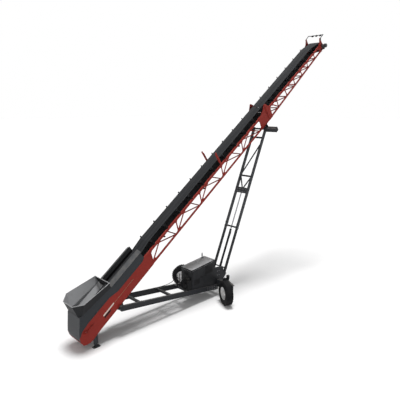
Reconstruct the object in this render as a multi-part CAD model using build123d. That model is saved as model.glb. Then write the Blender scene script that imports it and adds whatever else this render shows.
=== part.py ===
from build123d import *
from math import atan2, cos, degrees, hypot, pi, radians, sin
import os

os.makedirs("parts", exist_ok=True)

# Millimetres, +X towards the discharge end, +Y to the left, +Z up, ground at Z = 0.
# Boom pieces are drawn in the boom's own axes: X along the belt, Z square to it.

# Stance
INCLINE = 36.5
TAIL_X = -7740.5
TAIL_Z = 770.0

# Boom section
BOOM_W = 860.0
CHORD_W = 50.0
TOP_CHORD = (0.0, 110.0)
LOW_CHORD = (-510.0, -430.0)
CHORD_WALL = 3.0
LACING = 40.0
LACING_T = 16.0
PLATE_T = 12.0
FOLD_PLATE_T = 10.0
PLATE_END_U = 3850.0
FOLD_U = 13300.0
FOLD_V = 400.0
FOLD_GAP = 12.0
HEAD_U = 19450.0

# Belt, drums and idlers
DRUM_R = 190.0
DRUM_V = -42.0
DRUM_L = 780.0
DRUM_WALL = 8.0
SHAFT_R = 35.0
HOOP_R = 17.0
BELT_T = 10.0
BELT_HALF = 370.0
TROUGH_HALF = 140.0
TROUGH_V = 160.0
BELT_EDGE_V = 280.0
ROLLER_R = 45.0
ROLLER_WALL = 4.0
IDLER_PITCH = 890.0
IDLER_FIRST_U = 18510.0
IDLER_COUNT = 17

# Undercarriage, seen from the tail datum
PIVOT = (1620.0, 1220.0)
BEAM_Y = 500.0
BEAM_W = 100.0
BEAM_H = 220.0
BEAM_WALL = 10.0
AXLE_X = 7150.0
LEG_FOOT = (7690.0, 920.0)
LEG_TOP_UV = (12800.0, -710.0)
LEG_Y = 365.0
LEG_W = 90.0
LEG_D = 120.0
LEG_HOLE = (81.0, 111.0)
LEG_INNER = (80.0, 110.0)
LEG_WALL = 5.0
INNER_LEN = 3300.0
OUTER_START = 2250.0
PIN_R = 30.0
RAM_R = 32.0
RUN = 0.05

# Wheels
WHEEL_X = 6630.0
WHEEL_Y = 1450.0
TYRE_R = 550.0
TYRE_W = 360.0
RIM_R = 292.0
TURNED = 115.5
KING_OUT = 300.0
KING_ALONG = 500.0
KING_R = 40.0
STUB_R = 45.0

BOOM = Location((TAIL_X, 0, TAIL_Z), (0, -INCLINE, 0))
HALF = BOOM_W / 2
EPS = 0.3


def save(name, *shapes):
    """Write one node: the given solids, as they stand in the machine."""
    solids = [s for shape in shapes for s in shape.solids()]
    export_step(Compound(label=name, children=solids), f"parts/{name}.step")


def block(x, y, z):
    """A box between two values on each axis."""
    size = [b - a for a, b in (x, y, z)]
    mid = [(a + b) / 2 for a, b in (x, y, z)]
    return Pos(*mid) * Box(*size)


def both(shape):
    """The piece and its mirror image on the machine's other side."""
    return [shape, mirror(shape, about=Plane.XZ)]


def side_plate(points, y0, y1):
    """A plate cut to a side outline (x, z), from y0 to y1."""
    face = make_face(Polyline(*[(x, y0, z) for x, z in points], close=True))
    return extrude(face, amount=y1 - y0, dir=(0, 1, 0))


def rod(a, b, r):
    """A round bar between two points."""
    start, run = Vector(*a), Vector(*b) - Vector(*a)
    plane = Plane(origin=start, z_dir=run.normalized())
    return extrude(plane * Circle(r), amount=run.length)


def bar(a, b, width, depth):
    """A flat or square bar in a side plane: width across Y, depth in the plane."""
    (x0, y, z0), (x1, _, z1) = a, b
    run = hypot(x1 - x0, z1 - z0)
    turn = degrees(atan2(z1 - z0, x1 - x0))
    at = Location(((x0 + x1) / 2, y, (z0 + z1) / 2), (0, -turn, 0))
    return at * Box(run, width, depth)


def cross_bar(u, v, half, size):
    """A square bar across the boom."""
    return block((u - size / 2, u + size / 2), (-half, half), (v - size / 2, v + size / 2))


def drum_y(u, v, r, half):
    """A round bar or drum lying across, centred on the machine."""
    return Pos(u, 0, v) * Rot(90, 0, 0) * Cylinder(r, 2 * half)


def boom_point(u, v):
    """Machine X and Z of a point of the boom's side view."""
    a = radians(INCLINE)
    return TAIL_X + u * cos(a) - v * sin(a), TAIL_Z + u * sin(a) + v * cos(a)


# Lattice sides


def chord_tube(u0, u1, band):
    """One hollow chord of the left side."""
    z0, z1 = band
    y0 = HALF - CHORD_W
    tube = block((u0, u1), (y0, HALF), band)
    hole = block((u0 - 1, u1 + 1), (y0 + CHORD_WALL, HALF - CHORD_WALL),
                 (z0 + CHORD_WALL, z1 - CHORD_WALL))
    return tube - hole


def lattice_side(u0, u1, first, bays):
    """Chords with zigzag lacing between, on the left side."""
    side = chord_tube(u0, u1, TOP_CHORD) + chord_tube(u0, u1, LOW_CHORD)
    y = HALF - CHORD_W / 2
    low, high = LOW_CHORD[1] - 2, TOP_CHORD[0] + 2
    pitch = (u1 - 60 - first) / bays
    for i in range(bays):
        a, b = first + i * pitch, first + (i + 1) * pitch
        mid = (a + b) / 2
        side += bar((a, y, low), (mid, y, high), LACING_T, LACING)
        side += bar((mid, y, high), (b, y, low), LACING_T, LACING)
        side += bar((a, y, low), (a, y, high), LACING_T, LACING)
    return side


def make_lattice():
    lower = lattice_side(PLATE_END_U - 500, FOLD_U - FOLD_GAP, PLATE_END_U - 20, 6)
    head = lattice_side(FOLD_U + FOLD_GAP, HEAD_U - 500, FOLD_U + 100, 4)
    for name, side in (("boom_truss", lower), ("head_truss", head)):
        for hand, piece in zip(("left", "right"), both(BOOM * side)):
            save(f"{name}_{hand}", piece)


def make_ties():
    """Bars across between the two lattice sides."""
    half = HALF - CHORD_W - EPS
    for name, u0, u1, count in (("boom_ties", 4100, FOLD_U - 120, 7),
                                ("head_ties", FOLD_U + 120, HEAD_U - 800, 5)):
        step = (u1 - u0) / (count - 1)
        bars = [cross_bar(u0 + i * step, sum(LOW_CHORD) / 2, half, LACING) for i in range(count)]
        save(name, *[BOOM * b for b in bars])


# Tail section

RED_OUTLINE = ((-280, -12), (-339, -182), (-348, -364), (-250, -465), (-137, -519), (8, -545), (509, -520),
               (3711, -512), (3867, 20), (3830, 108), (3560, 108), (3400, 30), (1900, 30), (1500, 150),
               (300, 150), (-50, 100), (-200, 10))
PANEL_OUTLINE = ((-279, -6), (-200, 14), (-50, 104), (300, 154), (1500, 154), (1900, 34), (3400, 34),
                 (3560, 112), (3541, 408), (1790, 414), (1777, 418.9), (227, 595.5), (23, 357), (-124, 188))
END_OUTLINE = ((226, 590), (23, 357), (-124, 188), (-279, -10), (-339, -182), (-348, -364), (-250, -465))
SIDE_Y = (HALF + EPS, HALF + EPS + PLATE_T)


def bent_sheet(path, thick, half):
    """A folded sheet across the boom that follows a side outline, thickness inwards."""
    inner = [(u + thick, v - 0.4 * thick) for u, v in path]
    return side_plate(list(path) + inner[::-1], -half, half)


def make_tail():
    plate = side_plate(RED_OUTLINE, *SIDE_Y)
    plate -= side_plate(((850, -310), (1180, -310), (1230, -250), (900, -250)), HALF, HALF + 20)
    plate -= drum_y(0, DRUM_V, SHAFT_R + RUN, HALF + 20)
    panel = side_plate(PANEL_OUTLINE, *SIDE_Y) - drum_y(0, DRUM_V, SHAFT_R + RUN, HALF + 20)
    lip = bent_sheet(END_OUTLINE[4:], 8, HALF)
    save("tail_plates", BOOM * lip, *both(BOOM * plate))
    save("tail_panels", *both(BOOM * panel))
    save("tail_cover", BOOM * bent_sheet(END_OUTLINE[:4], 8, HALF),
         BOOM * bent_sheet([(u - 1, v - 3) for u, v in END_OUTLINE[3:4]] + [(-337, -176)], 8, HALF))
    skirt = block((1815, 3600), (262, 270), (235, 500))
    for i in range(12):
        u = 1860 + i * 150
        skirt += block((u, u + 40), (270, 284), (250, 490))
    for u in (1900, 2700, 3500):
        skirt += block((u - 20, u + 20), (284, HALF), (340, 380))
    save("skirts", *both(BOOM * skirt))


def make_feet():
    x = TAIL_X + 460
    post = block((x - 50, x + 50), (380, HALF), (20, 730))
    sole = block((x - 150, x + 150), (340, 500), (0, 20))
    save("tail_feet", *both(post + sole))


def make_hopper():
    """Flared feed hopper: an outer loft less an inner one."""
    def tilted(x, z, slope):
        a = radians(slope)
        return Plane(origin=(TAIL_X + x, 0, z), x_dir=(cos(a), 0, sin(a)), z_dir=(-sin(a), 0, cos(a)))

    def section(plane, points, inset):
        pts = [(x + (inset if x < 200 else -inset), y - inset) for x, y in points]
        ring = pts + [(x, -y) for x, y in reversed(pts)]
        return plane * make_face(Polyline(*ring, close=True))

    wide = HALF + EPS + PLATE_T
    floor, floor_plane = ((0, 330), (120, wide), (1560, wide)), tilted(-172, 1384, 30)
    rim, rim_plane = ((-405, 330), (-85, 660), (1165, 500)), tilted(0, 2000, 19.8)
    outer = loft([section(floor_plane, floor, 0), section(rim_plane, rim, 0)], ruled=True)
    inner = loft([section(floor_plane.offset(-1), floor, 8), section(rim_plane.offset(1), rim, 8)],
                 ruled=True)
    save("hopper", outer - inner)


# Belt and rollers


def trough_points(v_flat, v_edge, drop):
    """Belt cross-section, as (y, z) with its underside drop below its top."""
    top = ((-BELT_HALF, v_edge), (-TROUGH_HALF, v_flat), (TROUGH_HALF, v_flat), (BELT_HALF, v_edge))
    return top + tuple((y, z - drop) for y, z in reversed(top))


def belt_section(u, v_edge):
    pts = [(u, y, z) for y, z in trough_points(TROUGH_V, v_edge, BELT_T)]
    return make_face(Polyline(*pts, close=True))


def trough_run(u0, u1):
    return extrude(belt_section(u0, BELT_EDGE_V), amount=u1 - u0, dir=(1, 0, 0))


def belt_wrap(u, towards):
    """Half ring of belt round an end drum."""
    top = TROUGH_V
    r = top - DRUM_V
    ring = Pos(u, 0, DRUM_V) * Rot(90, 0, 0) * (Cylinder(r, 2 * BELT_HALF) - Cylinder(r - BELT_T, 2 * BELT_HALF + 2))
    keep = block((u, u + towards * 400) if towards > 0 else (u - 400, u),
                 (-BELT_HALF - 5, BELT_HALF + 5), (-400, 300))
    return ring & keep


def return_run(u0, u1):
    low = 2 * DRUM_V - TROUGH_V
    return block((u0, u1), (-BELT_HALF, BELT_HALF), (low, low + BELT_T))


def make_belts():
    ease = 700.0
    cut = FOLD_U - FOLD_GAP
    tail = belt_wrap(0, -1) + return_run(0, cut) + trough_run(ease, cut)
    tail += loft([belt_section(0, TROUGH_V + 0.5), belt_section(ease, BELT_EDGE_V)], ruled=True)
    save("belt_lower", BOOM * tail)
    cut = FOLD_U + FOLD_GAP
    head = belt_wrap(HEAD_U, 1) + return_run(cut, HEAD_U) + trough_run(cut, HEAD_U - ease)
    head += loft([belt_section(HEAD_U - ease, BELT_EDGE_V), belt_section(HEAD_U, TROUGH_V + 0.5)],
                 ruled=True)
    save("belt_head", BOOM * head)


def make_idlers():
    for name, u_low, u_high in (("boom_idlers", PLATE_END_U, FOLD_U - 60), ("head_idlers", FOLD_U + 60, HEAD_U)):
        pieces = []
        for i in range(IDLER_COUNT):
            u = IDLER_FIRST_U - i * IDLER_PITCH
            if u_low < u < u_high:
                pieces += idler_set(u)
        save(name, *[BOOM * p for p in pieces])


def roller(a, b):
    """A thin tube on a web at its middle."""
    start, end = Vector(*a), Vector(*b)
    along = (end - start).normalized()
    web = 6.0
    mid = (start + end) * 0.5
    tube = rod(a, b, ROLLER_R)
    tube -= rod(tuple(start - along), tuple(mid - along * web), ROLLER_R - ROLLER_WALL)
    return tube - rod(tuple(mid + along * web), tuple(end + along), ROLLER_R - ROLLER_WALL)


def idler_set(u):
    """Three rollers on a bed between the chords, with stands on the chords outside the belt."""
    r = ROLLER_R
    flat_v = TROUGH_V - BELT_T - EPS - r
    slope = (BELT_EDGE_V - TROUGH_V) / (BELT_HALF - TROUGH_HALF)
    drop = (BELT_T + EPS + r) * hypot(1, slope)
    inside = HALF - CHORD_W - EPS
    bed_v = flat_v - r - 20
    frame = block((u - 30, u + 30), (-inside, inside), (bed_v, bed_v + 12))
    frame += roller((u, -135, flat_v), (u, 135, flat_v)) + rod((u, -144, flat_v), (u, 144, flat_v), 12)
    y0, y1 = 165.0, 355.0
    z0, z1 = (TROUGH_V + (y - TROUGH_HALF) * slope - drop for y in (y0, y1))
    top = TOP_CHORD[1]
    half_set = block((u - 25, u + 25), (141, 149), (bed_v, flat_v + 30))
    half_set += roller((u, y0, z0), (u, y1, z1))
    half_set += rod((u, 145, z0 - 20 * slope), (u, 384, z1 + 29 * slope), 12)
    half_set += block((u - 30, u + 30), (inside - 8, inside), (bed_v, top + 8))
    half_set += block((u - 30, u + 30), (inside - 8, HALF), (top + EPS, top + 8))
    half_set += block((u - 30, u + 30), (381, 389), (top + EPS, BELT_EDGE_V + 20))
    for piece in both(half_set):
        frame += piece
    return list(frame.solids())


def make_returns():
    low = 2 * DRUM_V - TROUGH_V
    half = HALF - EPS
    for name, us in (("boom_returns", (4850, 7780, 10720)), ("head_returns", (14300, 16900))):
        rolls = []
        for u in us:
            v = low - EPS - 45
            rolls.append(roller((u, -340, v), (u, 340, v)) + drum_y(u, v, 12, half))
        save(name, *[BOOM * x for x in rolls])


# Drums and head end


def drum(u):
    """Rolled shell on two webs with lightening holes, and a through shaft."""
    shell = drum_y(u, DRUM_V, DRUM_R - EPS, DRUM_L / 2) - drum_y(u, DRUM_V, DRUM_R - DRUM_WALL, DRUM_L / 2 + 1)
    web = Pos(u, DRUM_L / 2 - 60, DRUM_V) * Rot(90, 0, 0) * Cylinder(DRUM_R - DRUM_WALL + 1, 10)
    for side in (-1, 1):
        web -= Pos(u + side * 110, DRUM_L / 2 - 60, DRUM_V) * Rot(90, 0, 0) * Cylinder(40, 20)
    for piece in both(web):
        shell += piece
    return shell + drum_y(u, DRUM_V, SHAFT_R, HALF + PLATE_T)


def make_drums():
    save("tail_drum", BOOM * drum(0))
    save("head_drum", BOOM * drum(HEAD_U))


def make_head():
    u0 = HEAD_U - 720
    outline = ((u0, -508), (HEAD_U - 180, -380), (HEAD_U + 20, -260), (HEAD_U + 90, -60), (HEAD_U + 60, 100),
               (HEAD_U - 120, 200), (HEAD_U - 500, 200), (u0, 108))
    plate = side_plate(outline, *SIDE_Y) - drum_y(HEAD_U, DRUM_V, SHAFT_R + RUN, HALF + 20)
    save("head_plates", *both(BOOM * plate))
    r = HOOP_R
    y = SIDE_Y[1] + EPS + r
    side = rod((HEAD_U - 90, y, 90), (HEAD_U, y, 450), r) + rod((HEAD_U, y, 450), (HEAD_U + 380, y, 455), r)
    side += rod((HEAD_U + 70, y, 0), (HEAD_U + 380, y, 455), r)
    hoop = rod((HEAD_U + 380, -y, 455), (HEAD_U + 380, y, 455), r)
    for piece in both(side):
        hoop += piece
    save("head_hoop", BOOM * hoop)
    y = SIDE_Y[1] + 90 + EPS
    motor = Pos(HEAD_U, -y, DRUM_V) * Rot(90, 0, 0) * Cylinder(60, 180)
    motor += Pos(HEAD_U, -y - 150, DRUM_V) * Rot(90, 0, 0) * Cylinder(45, 130)
    save("drive_motor", BOOM * motor)


# Fold hinge and rests


def make_fold():
    y0, y1 = HALF + EPS, HALF + FOLD_PLATE_T
    f, v = FOLD_U, FOLD_V
    low = ((f - 830, -500), (f - FOLD_GAP, -500), (f - FOLD_GAP, 320), (f + 45, v - 30), (f + 45, v + 30),
           (f, v + 45), (f - 60, v + 30), (f - 250, 250), (f - 760, 40))
    plate = side_plate(low, y0, y1)
    plate += Pos(f, y0 + 16, v) * Rot(90, 0, 0) * Cylinder(25, 32)
    save("fold_plates", *both(BOOM * plate))
    high = ((f + 260, -500), (f + FOLD_GAP, -500), (f + FOLD_GAP, 320), (f - 45, v - 30), (f - 45, v + 30),
            (f, v + 45), (f + 60, v + 30), (f + 330, 40))
    y2 = y1 + EPS
    flap = side_plate(high, y2, y2 + FOLD_PLATE_T)
    flap += side_plate(((f + 260, -500), (f + 70, -500), (f + 70, 100), (f + 320, 40)), y0, y2)
    flap -= Pos(f, y2, v) * Rot(90, 0, 0) * Cylinder(25 + RUN, 80)
    save("head_fold_plates", *both(BOOM * flap))
    seat = 2 * v - TOP_CHORD[1] - 6
    post = block((9170, 9250), (HALF - 40, HALF), (TOP_CHORD[1] + EPS, seat))
    post += block((9170, 9250), (HALF - 10, HALF + 14), (250, seat))
    post += block((9170, 9250), (HALF + 6, HALF + 14), (seat - 50, seat + 100))
    save("fold_rests", *both(BOOM * post))


def make_boom_brackets():
    """Lugs under the boom: on the chassis pivot, and hangers that face the leg tops."""
    u, v = LEG_TOP_UV
    hanger = side_plate(((u - 200, -511), (u + 200, -511), (u + 80, v - 80), (u - 80, v - 80)), 410 + EPS, HALF)
    px, pz = TAIL_X + PIVOT[0], PIVOT[1]
    lug = BOOM * side_plate(((1380, -470), (1760, -470), (1670, -690), (1470, -690)), 380, HALF)
    lug -= Pos(px, 405, pz) * Rot(90, 0, 0) * Cylinder(PIN_R + RUN, 100)
    save("boom_brackets", *both(BOOM * hanger), *both(lug))


# Legs


def leg_frame():
    """Leg foot, length and elevation in the machine's side view."""
    tx, tz = boom_point(*LEG_TOP_UV)
    fx, fz = TAIL_X + LEG_FOOT[0], LEG_FOOT[1]
    return fx, fz, hypot(tx - fx, tz - fz), degrees(atan2(tz - fz, tx - fx))


def make_legs():
    fx, fz, length, rise = leg_frame()
    at = Location((fx, 0, fz), (0, -rise, 0))
    hw, hd = LEG_INNER[0] / 2, LEG_INNER[1] / 2
    inner = block((60, INNER_LEN), (LEG_Y - hw, LEG_Y + hw), (-hd, hd))
    inner -= block((120, INNER_LEN + 1), (LEG_Y - hw + LEG_WALL, LEG_Y + hw - LEG_WALL),
                   (-hd + LEG_WALL, hd - LEG_WALL))
    eye = Pos(0, LEG_Y, 0) * Rot(90, 0, 0) * Cylinder(65, LEG_INNER[0])
    eye += block((0, 70), (LEG_Y - hw, LEG_Y + hw), (-hd, hd))
    eye -= Pos(0, LEG_Y, 0) * Rot(90, 0, 0) * Cylinder(PIN_R + RUN, LEG_INNER[0] + 4)
    tie = block((220, 280), (-LEG_Y + hw, LEG_Y - hw), (-30, 30))
    lower = tie
    for piece in both(inner + eye):
        lower += piece
    lower += Pos(1130, 0, 0) * Rot(0, 90, 0) * Cylinder(50, 2080)
    ram_eye = Pos(0, 0, 0) * Rot(90, 0, 0) * Cylinder(60, 90)
    lower += ram_eye + block((0, 120), (-45, 45), (-45, 45))
    lower -= Pos(1240, 0, 0) * Rot(0, 90, 0) * Cylinder(RAM_R + 2, 1880)
    lower -= Pos(0, 0, 0) * Rot(90, 0, 0) * Cylinder(PIN_R + RUN, 200)
    save("legs_lower", at * lower)

    w, d = LEG_W / 2, LEG_D / 2
    outer = block((OUTER_START, length - 60), (LEG_Y - w, LEG_Y + w), (-d, d))
    outer -= block((OUTER_START - 1, length - 300), (LEG_Y - LEG_HOLE[0] / 2, LEG_Y + LEG_HOLE[0] / 2),
                   (-LEG_HOLE[1] / 2, LEG_HOLE[1] / 2))
    outer += Pos(length, LEG_Y, 0) * Rot(90, 0, 0) * Cylinder(75, LEG_W)
    outer += block((length - 80, length), (LEG_Y - w, LEG_Y + w), (-d, d))
    head_tie = Pos(length, 0, 0) * Rot(90, 0, 0) * Cylinder(45, 2 * LEG_Y)
    upper = head_tie
    for piece in both(outer):
        upper += piece
    reach = LEG_Y - w
    for s in (OUTER_START + 20, 4920.0):
        upper += block((s, s + 80), (-LEG_Y, LEG_Y), (d, d + 50))
    upper += block((4080, 4200), (-reach, reach), (-45, 45))
    save("legs_upper", at * upper)
    save("ram_rod", at * (Pos(3065, 0, 0) * Rot(0, 90, 0) * Cylinder(RAM_R, 2030 - 2 * EPS)))


# Chassis


def beam_bottom(x):
    """Height of the main beam's underside at a distance from the tail datum."""
    return 1085.0 - (x - 1620.0) * 0.137


def cross_channel(x):
    """Channel between the main beams, top flush with theirs, open towards the axle."""
    reach = BEAM_Y - BEAM_W / 2

    def quad(x0, x1, under, over):
        pts = ((x0, beam_bottom(x0) + under), (x1, beam_bottom(x1) + under),
               (x1, beam_bottom(x1) + over), (x0, beam_bottom(x0) + over))
        return side_plate([(TAIL_X + px, pz) for px, pz in pts], -reach, reach)

    return quad(x - 50, x + 50, BEAM_H - 100, BEAM_H) - quad(x - 42, x + 51, BEAM_H - 92, BEAM_H - 8)


def make_chassis():
    def beam_outline(x0, x1):
        return [(TAIL_X + x, z) for x, z in ((x0, beam_bottom(x0)), (x1, beam_bottom(x1)),
                (x1, beam_bottom(x1) + BEAM_H), (x0, beam_bottom(x0) + BEAM_H))]

    w = BEAM_W / 2
    x_end = AXLE_X - 100.0 - EPS
    beam = side_plate(beam_outline(1560, x_end), BEAM_Y - w, BEAM_Y + w)
    cut = [(TAIL_X + x, z) for x, z in ((1550, beam_bottom(1550) + BEAM_WALL), (x_end + 5, beam_bottom(x_end + 5) + BEAM_WALL),
           (x_end + 5, beam_bottom(x_end + 5) + BEAM_H - BEAM_WALL),
           (1550, beam_bottom(1550) + BEAM_H - BEAM_WALL))]
    beam -= side_plate(cut, BEAM_Y - w + BEAM_WALL, BEAM_Y + w - BEAM_WALL)
    frame = None
    for piece in both(beam):
        frame = piece if frame is None else frame + piece
    for x in (2500, 4150, 5200, 5800, 6300, 6900):
        frame += cross_channel(x)
    px, pz = TAIL_X + PIVOT[0], PIVOT[1]
    ear = Pos(px, BEAM_Y, pz) * Rot(90, 0, 0) * Cylinder(115, BEAM_W)
    for piece in both(ear):
        frame += piece
    pin = Pos(px, BEAM_Y - w - 40, pz) * Rot(90, 0, 0) * Cylinder(PIN_R, 120)
    for piece in both(pin):
        frame += piece
    save("chassis_frame", frame)


def make_axle():
    x0, x1 = TAIL_X + AXLE_X - 100, TAIL_X + AXLE_X + 100
    pts = ((-1095, 640), (-760, 640), (-700, 460), (700, 460), (760, 640), (1095, 640), (1095, 800), (-1095, 800))
    face = make_face(Polyline(*[(x0, y, z) for y, z in pts], close=True))
    beam = extrude(face, amount=x1 - x0, dir=(1, 0, 0))
    beam -= block((x0 + 14, x1 - 14), (-690, 690), (400, 786))
    kx, ky = king_point()
    for s in (-1, 1):
        house = Pos(TAIL_X + kx, s * ky, 850) * Cylinder(62, 460)
        beam += house
    for s in (-1, 1):
        beam -= Pos(TAIL_X + kx, s * ky, 850) * Cylinder(KING_R + RUN, 700)
    fx, fz = TAIL_X + LEG_FOOT[0], LEG_FOOT[1]
    lug_outline = ((x1 - 5, 470), (x1 - 5, 795), (fx - 150, 1000), (fx + 50, 1000), (fx + 90, 900), (fx, 800),
                   (fx - 260, 560))
    for y0, y1 in ((300, 318), (412, 430), (55, 80)):
        for piece in both(side_plate(lug_outline, y0, y1)):
            beam += piece
    for y0, y1 in ((295, 435), (-85, 85)):
        shaft = Pos(fx, (y0 + y1) / 2, fz) * Rot(90, 0, 0) * Cylinder(PIN_R, y1 - y0)
        for piece in both(shaft) if y0 > 0 else [shaft]:
            beam += piece
    gusset_x = TAIL_X + 6880
    top = beam_bottom(6880) + BEAM_H + 2
    gusset = side_plate(((gusset_x, top), (gusset_x, 1440), (TAIL_X + 7440, 1350), (TAIL_X + 7600, 930),
                         (TAIL_X + 7520, 700), (TAIL_X + 7200, 500), (TAIL_X + 7200, top)), 455, 468)
    for piece in both(gusset):
        beam += piece
    save("axle_beam", beam)


def make_power_unit():
    """Engine canopy on the right side, cabinet on the left, valves ahead of the canopy."""
    def seat(x):
        return beam_bottom(x) + BEAM_H + EPS

    x0, x1, y0, y1 = 5380.0, 6860.0, -500.0, 200.0
    t = 4.0
    outer = side_plate(((TAIL_X + x0, seat(x0)), (TAIL_X + x1, seat(x1)), (TAIL_X + x1, 1856),
                        (TAIL_X + x0, 1714)), y0, y1)
    inner = side_plate(((TAIL_X + x0 + t, 400), (TAIL_X + x1 - t, 400), (TAIL_X + x1 - t, 1856 - t),
                        (TAIL_X + x0 + t, 1714 - t)), y0 + t, y1 - t)
    save("canopy", outer - inner)
    save("engine", side_plate(((TAIL_X + 5700, seat(5700)), (TAIL_X + 6400, seat(6400)), (TAIL_X + 6400, 1280),
                               (TAIL_X + 5700, 1280)), -400, 20))
    outer = side_plate(((TAIL_X + 5450, seat(5450)), (TAIL_X + 6600, seat(6600)), (TAIL_X + 6600, 1450),
                        (TAIL_X + 5450, 1450)), 230, 550)
    inner = side_plate(((TAIL_X + 5450 + t, 400), (TAIL_X + 6600 - t, 400), (TAIL_X + 6600 - t, 1450 - t),
                        (TAIL_X + 5450 + t, 1450 - t)), 230 + t, 550 - t)
    save("hydraulic_cabinet", outer - inner)
    bank = block((TAIL_X + 5060, TAIL_X + 5340), (-540, -150), (seat(5060), 1330))
    save("valve_bank", bank - block((TAIL_X + 5064, TAIL_X + 5336), (-536, -154), (400, 1326)))
    stack = Pos(TAIL_X + 6650, 120, 1956) * Cylinder(30, 260) - Pos(TAIL_X + 6650, 120, 2000) * Cylinder(26, 200)
    save("exhaust", stack - outer_roof(x0, x1))


def outer_roof(x0, x1):
    """The space under the canopy roof's upper face."""
    return side_plate(((TAIL_X + x0, 900), (TAIL_X + x1, 900), (TAIL_X + x1, 1856 + EPS), (TAIL_X + x0, 1714 + EPS)),
                      -500, 200)


# Wheels


def axis_dirs():
    """Unit vectors of the right wheel: a points to its inner side, t along its tread."""
    turn = radians(90 - TURNED)
    return (cos(turn), sin(turn)), (-sin(turn), cos(turn))


def king_point():
    """Kingpin place from the tail datum, and its distance from the middle."""
    a, t = axis_dirs()
    return (WHEEL_X + KING_OUT * a[0] + KING_ALONG * t[0],
            abs(-WHEEL_Y + KING_OUT * a[1] + KING_ALONG * t[1]))


def wheel_place():
    """Right wheel: local X runs along its axle to the inner side."""
    return Location((TAIL_X + WHEEL_X, -WHEEL_Y, TYRE_R), (0, 0, 90 - TURNED))


def make_wheels():
    at = wheel_place()
    h = TYRE_W / 2
    prof = Polyline((-h + 60, RIM_R), (-h + 10, RIM_R + 20), (-h, RIM_R + 110), (-h + 15, TYRE_R - 60),
                    (-h + 55, TYRE_R), (h - 55, TYRE_R), (h - 15, TYRE_R - 60), (h, RIM_R + 110),
                    (h - 10, RIM_R + 20), (h - 60, RIM_R), (h - 85, RIM_R), (h - 45, RIM_R + 30),
                    (h - 32, RIM_R + 110), (h - 50, TYRE_R - 80), (h - 80, TYRE_R - 40), (-h + 80, TYRE_R - 40),
                    (-h + 50, TYRE_R - 80), (-h + 32, RIM_R + 110), (-h + 45, RIM_R + 30), (-h + 85, RIM_R),
                    close=True)
    # profile is (along, radius), turned about the wheel's X axis
    tyre = revolve(Plane.XZ * make_face(prof), axis=Axis.X)
    rim_prof = Polyline((-h + 40, RIM_R - EPS), (h - 40, RIM_R - EPS), (h - 40, RIM_R - 12), (-46, RIM_R - 14),
                        (-46, 90), (40, 90), (40, STUB_R + RUN), (-90, STUB_R + RUN), (-90, 90),
                        (-60, 100), (-60, RIM_R - 14), (-h + 40, RIM_R - 12), close=True)
    rim = revolve(Plane.XZ * make_face(rim_prof), axis=Axis.X)
    stub = Pos(65, 0, 0) * Rot(0, 90, 0) * Cylinder(STUB_R, 290)
    arm = block((KING_OUT - 70, KING_OUT - 10), (-90, KING_ALONG), (-140, 40))
    arm += Pos(210, 0, 0) * Rot(0, 90, 0) * Cylinder(90, 60)
    arm += block((KING_OUT - 70, KING_OUT + 60), (KING_ALONG - 60, KING_ALONG + 60), (-140, 40))
    arm += Pos(KING_OUT, KING_ALONG, 290) * Cylinder(KING_R, 700)
    arm += Pos(KING_OUT, KING_ALONG, 590) * Cylinder(75, 60)
    fender = block((KING_OUT - 78, KING_OUT - 70), (-300, 380), (-90, 420))
    bracket = at * (arm + stub + fender)
    for name, piece in (("tyre", at * tyre), ("rim", at * rim), ("wheel_arm", bracket)):
        for hand, shape in zip(("right", "left"), both(piece)):
            save(f"{name}_{hand}", shape)


make_lattice()
make_ties()
make_tail()
make_feet()
make_hopper()
make_belts()
make_idlers()
make_returns()
make_drums()
make_head()
make_fold()
make_boom_brackets()
make_legs()
make_chassis()
make_axle()
make_power_unit()
make_wheels()
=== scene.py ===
"""Dresses the mobile belt conveyor: finishes for its steelwork, and the small pieces that show on it."""
import bmesh
import bpy
from bpy.props import FloatProperty, FloatVectorProperty, IntProperty, PointerProperty
from bpy.types import Operator, Panel, PropertyGroup
from math import atan2, cos, hypot, pi, radians, sin
from mathutils import Matrix, Vector


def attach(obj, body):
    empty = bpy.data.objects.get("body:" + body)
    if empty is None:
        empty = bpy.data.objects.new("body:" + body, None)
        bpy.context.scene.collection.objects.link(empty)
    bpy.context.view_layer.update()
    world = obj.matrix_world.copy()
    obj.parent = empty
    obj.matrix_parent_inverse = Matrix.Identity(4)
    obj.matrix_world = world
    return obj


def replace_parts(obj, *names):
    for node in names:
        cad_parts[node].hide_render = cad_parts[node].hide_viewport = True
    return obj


bl_info = {
    "name": "Mobile belt conveyor",
    "version": (1, 0, 0),
    "blender": (4, 5, 0),
    "location": "3D View > Sidebar > Conveyor",
    "description": "Finishes and small fittings of a mobile belt conveyor",
    "category": "Object",
}

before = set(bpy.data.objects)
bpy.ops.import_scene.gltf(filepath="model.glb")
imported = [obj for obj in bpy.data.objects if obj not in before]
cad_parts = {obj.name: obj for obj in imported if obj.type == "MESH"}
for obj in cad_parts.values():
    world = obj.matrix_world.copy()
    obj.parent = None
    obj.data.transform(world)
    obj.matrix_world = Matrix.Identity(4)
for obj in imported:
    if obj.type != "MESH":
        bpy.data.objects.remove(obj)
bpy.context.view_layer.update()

# Metres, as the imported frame. U runs along the belt, W across to the left, V square to the belt.
INCLINE = radians(36.5)
TAIL = Vector((-7.7405, 0.0, 0.770))
BOOM = Matrix.Translation(TAIL) @ Matrix.Rotation(-INCLINE, 4, "Y")
CHASSIS = Matrix.Translation((TAIL.x, 0.0, 0.0))
LEG = Matrix.Translation((TAIL.x + 7.69, 0.0, 0.92)) @ Matrix.Rotation(radians(-66.3287), 4, "Y")
RIGHT_WHEEL = Matrix.Translation((TAIL.x + 6.63, -1.45, 0.55)) @ Matrix.Rotation(radians(-25.5), 4, "Z")
ACROSS = Matrix.Scale(-1.0, 4, (0, 1, 0))
# The lattice's outer face, and the inner and outer faces of the plates that lie on it
HALF = 0.43
PLATE_IN = HALF + 0.0003
SIDE = 0.4423
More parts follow.
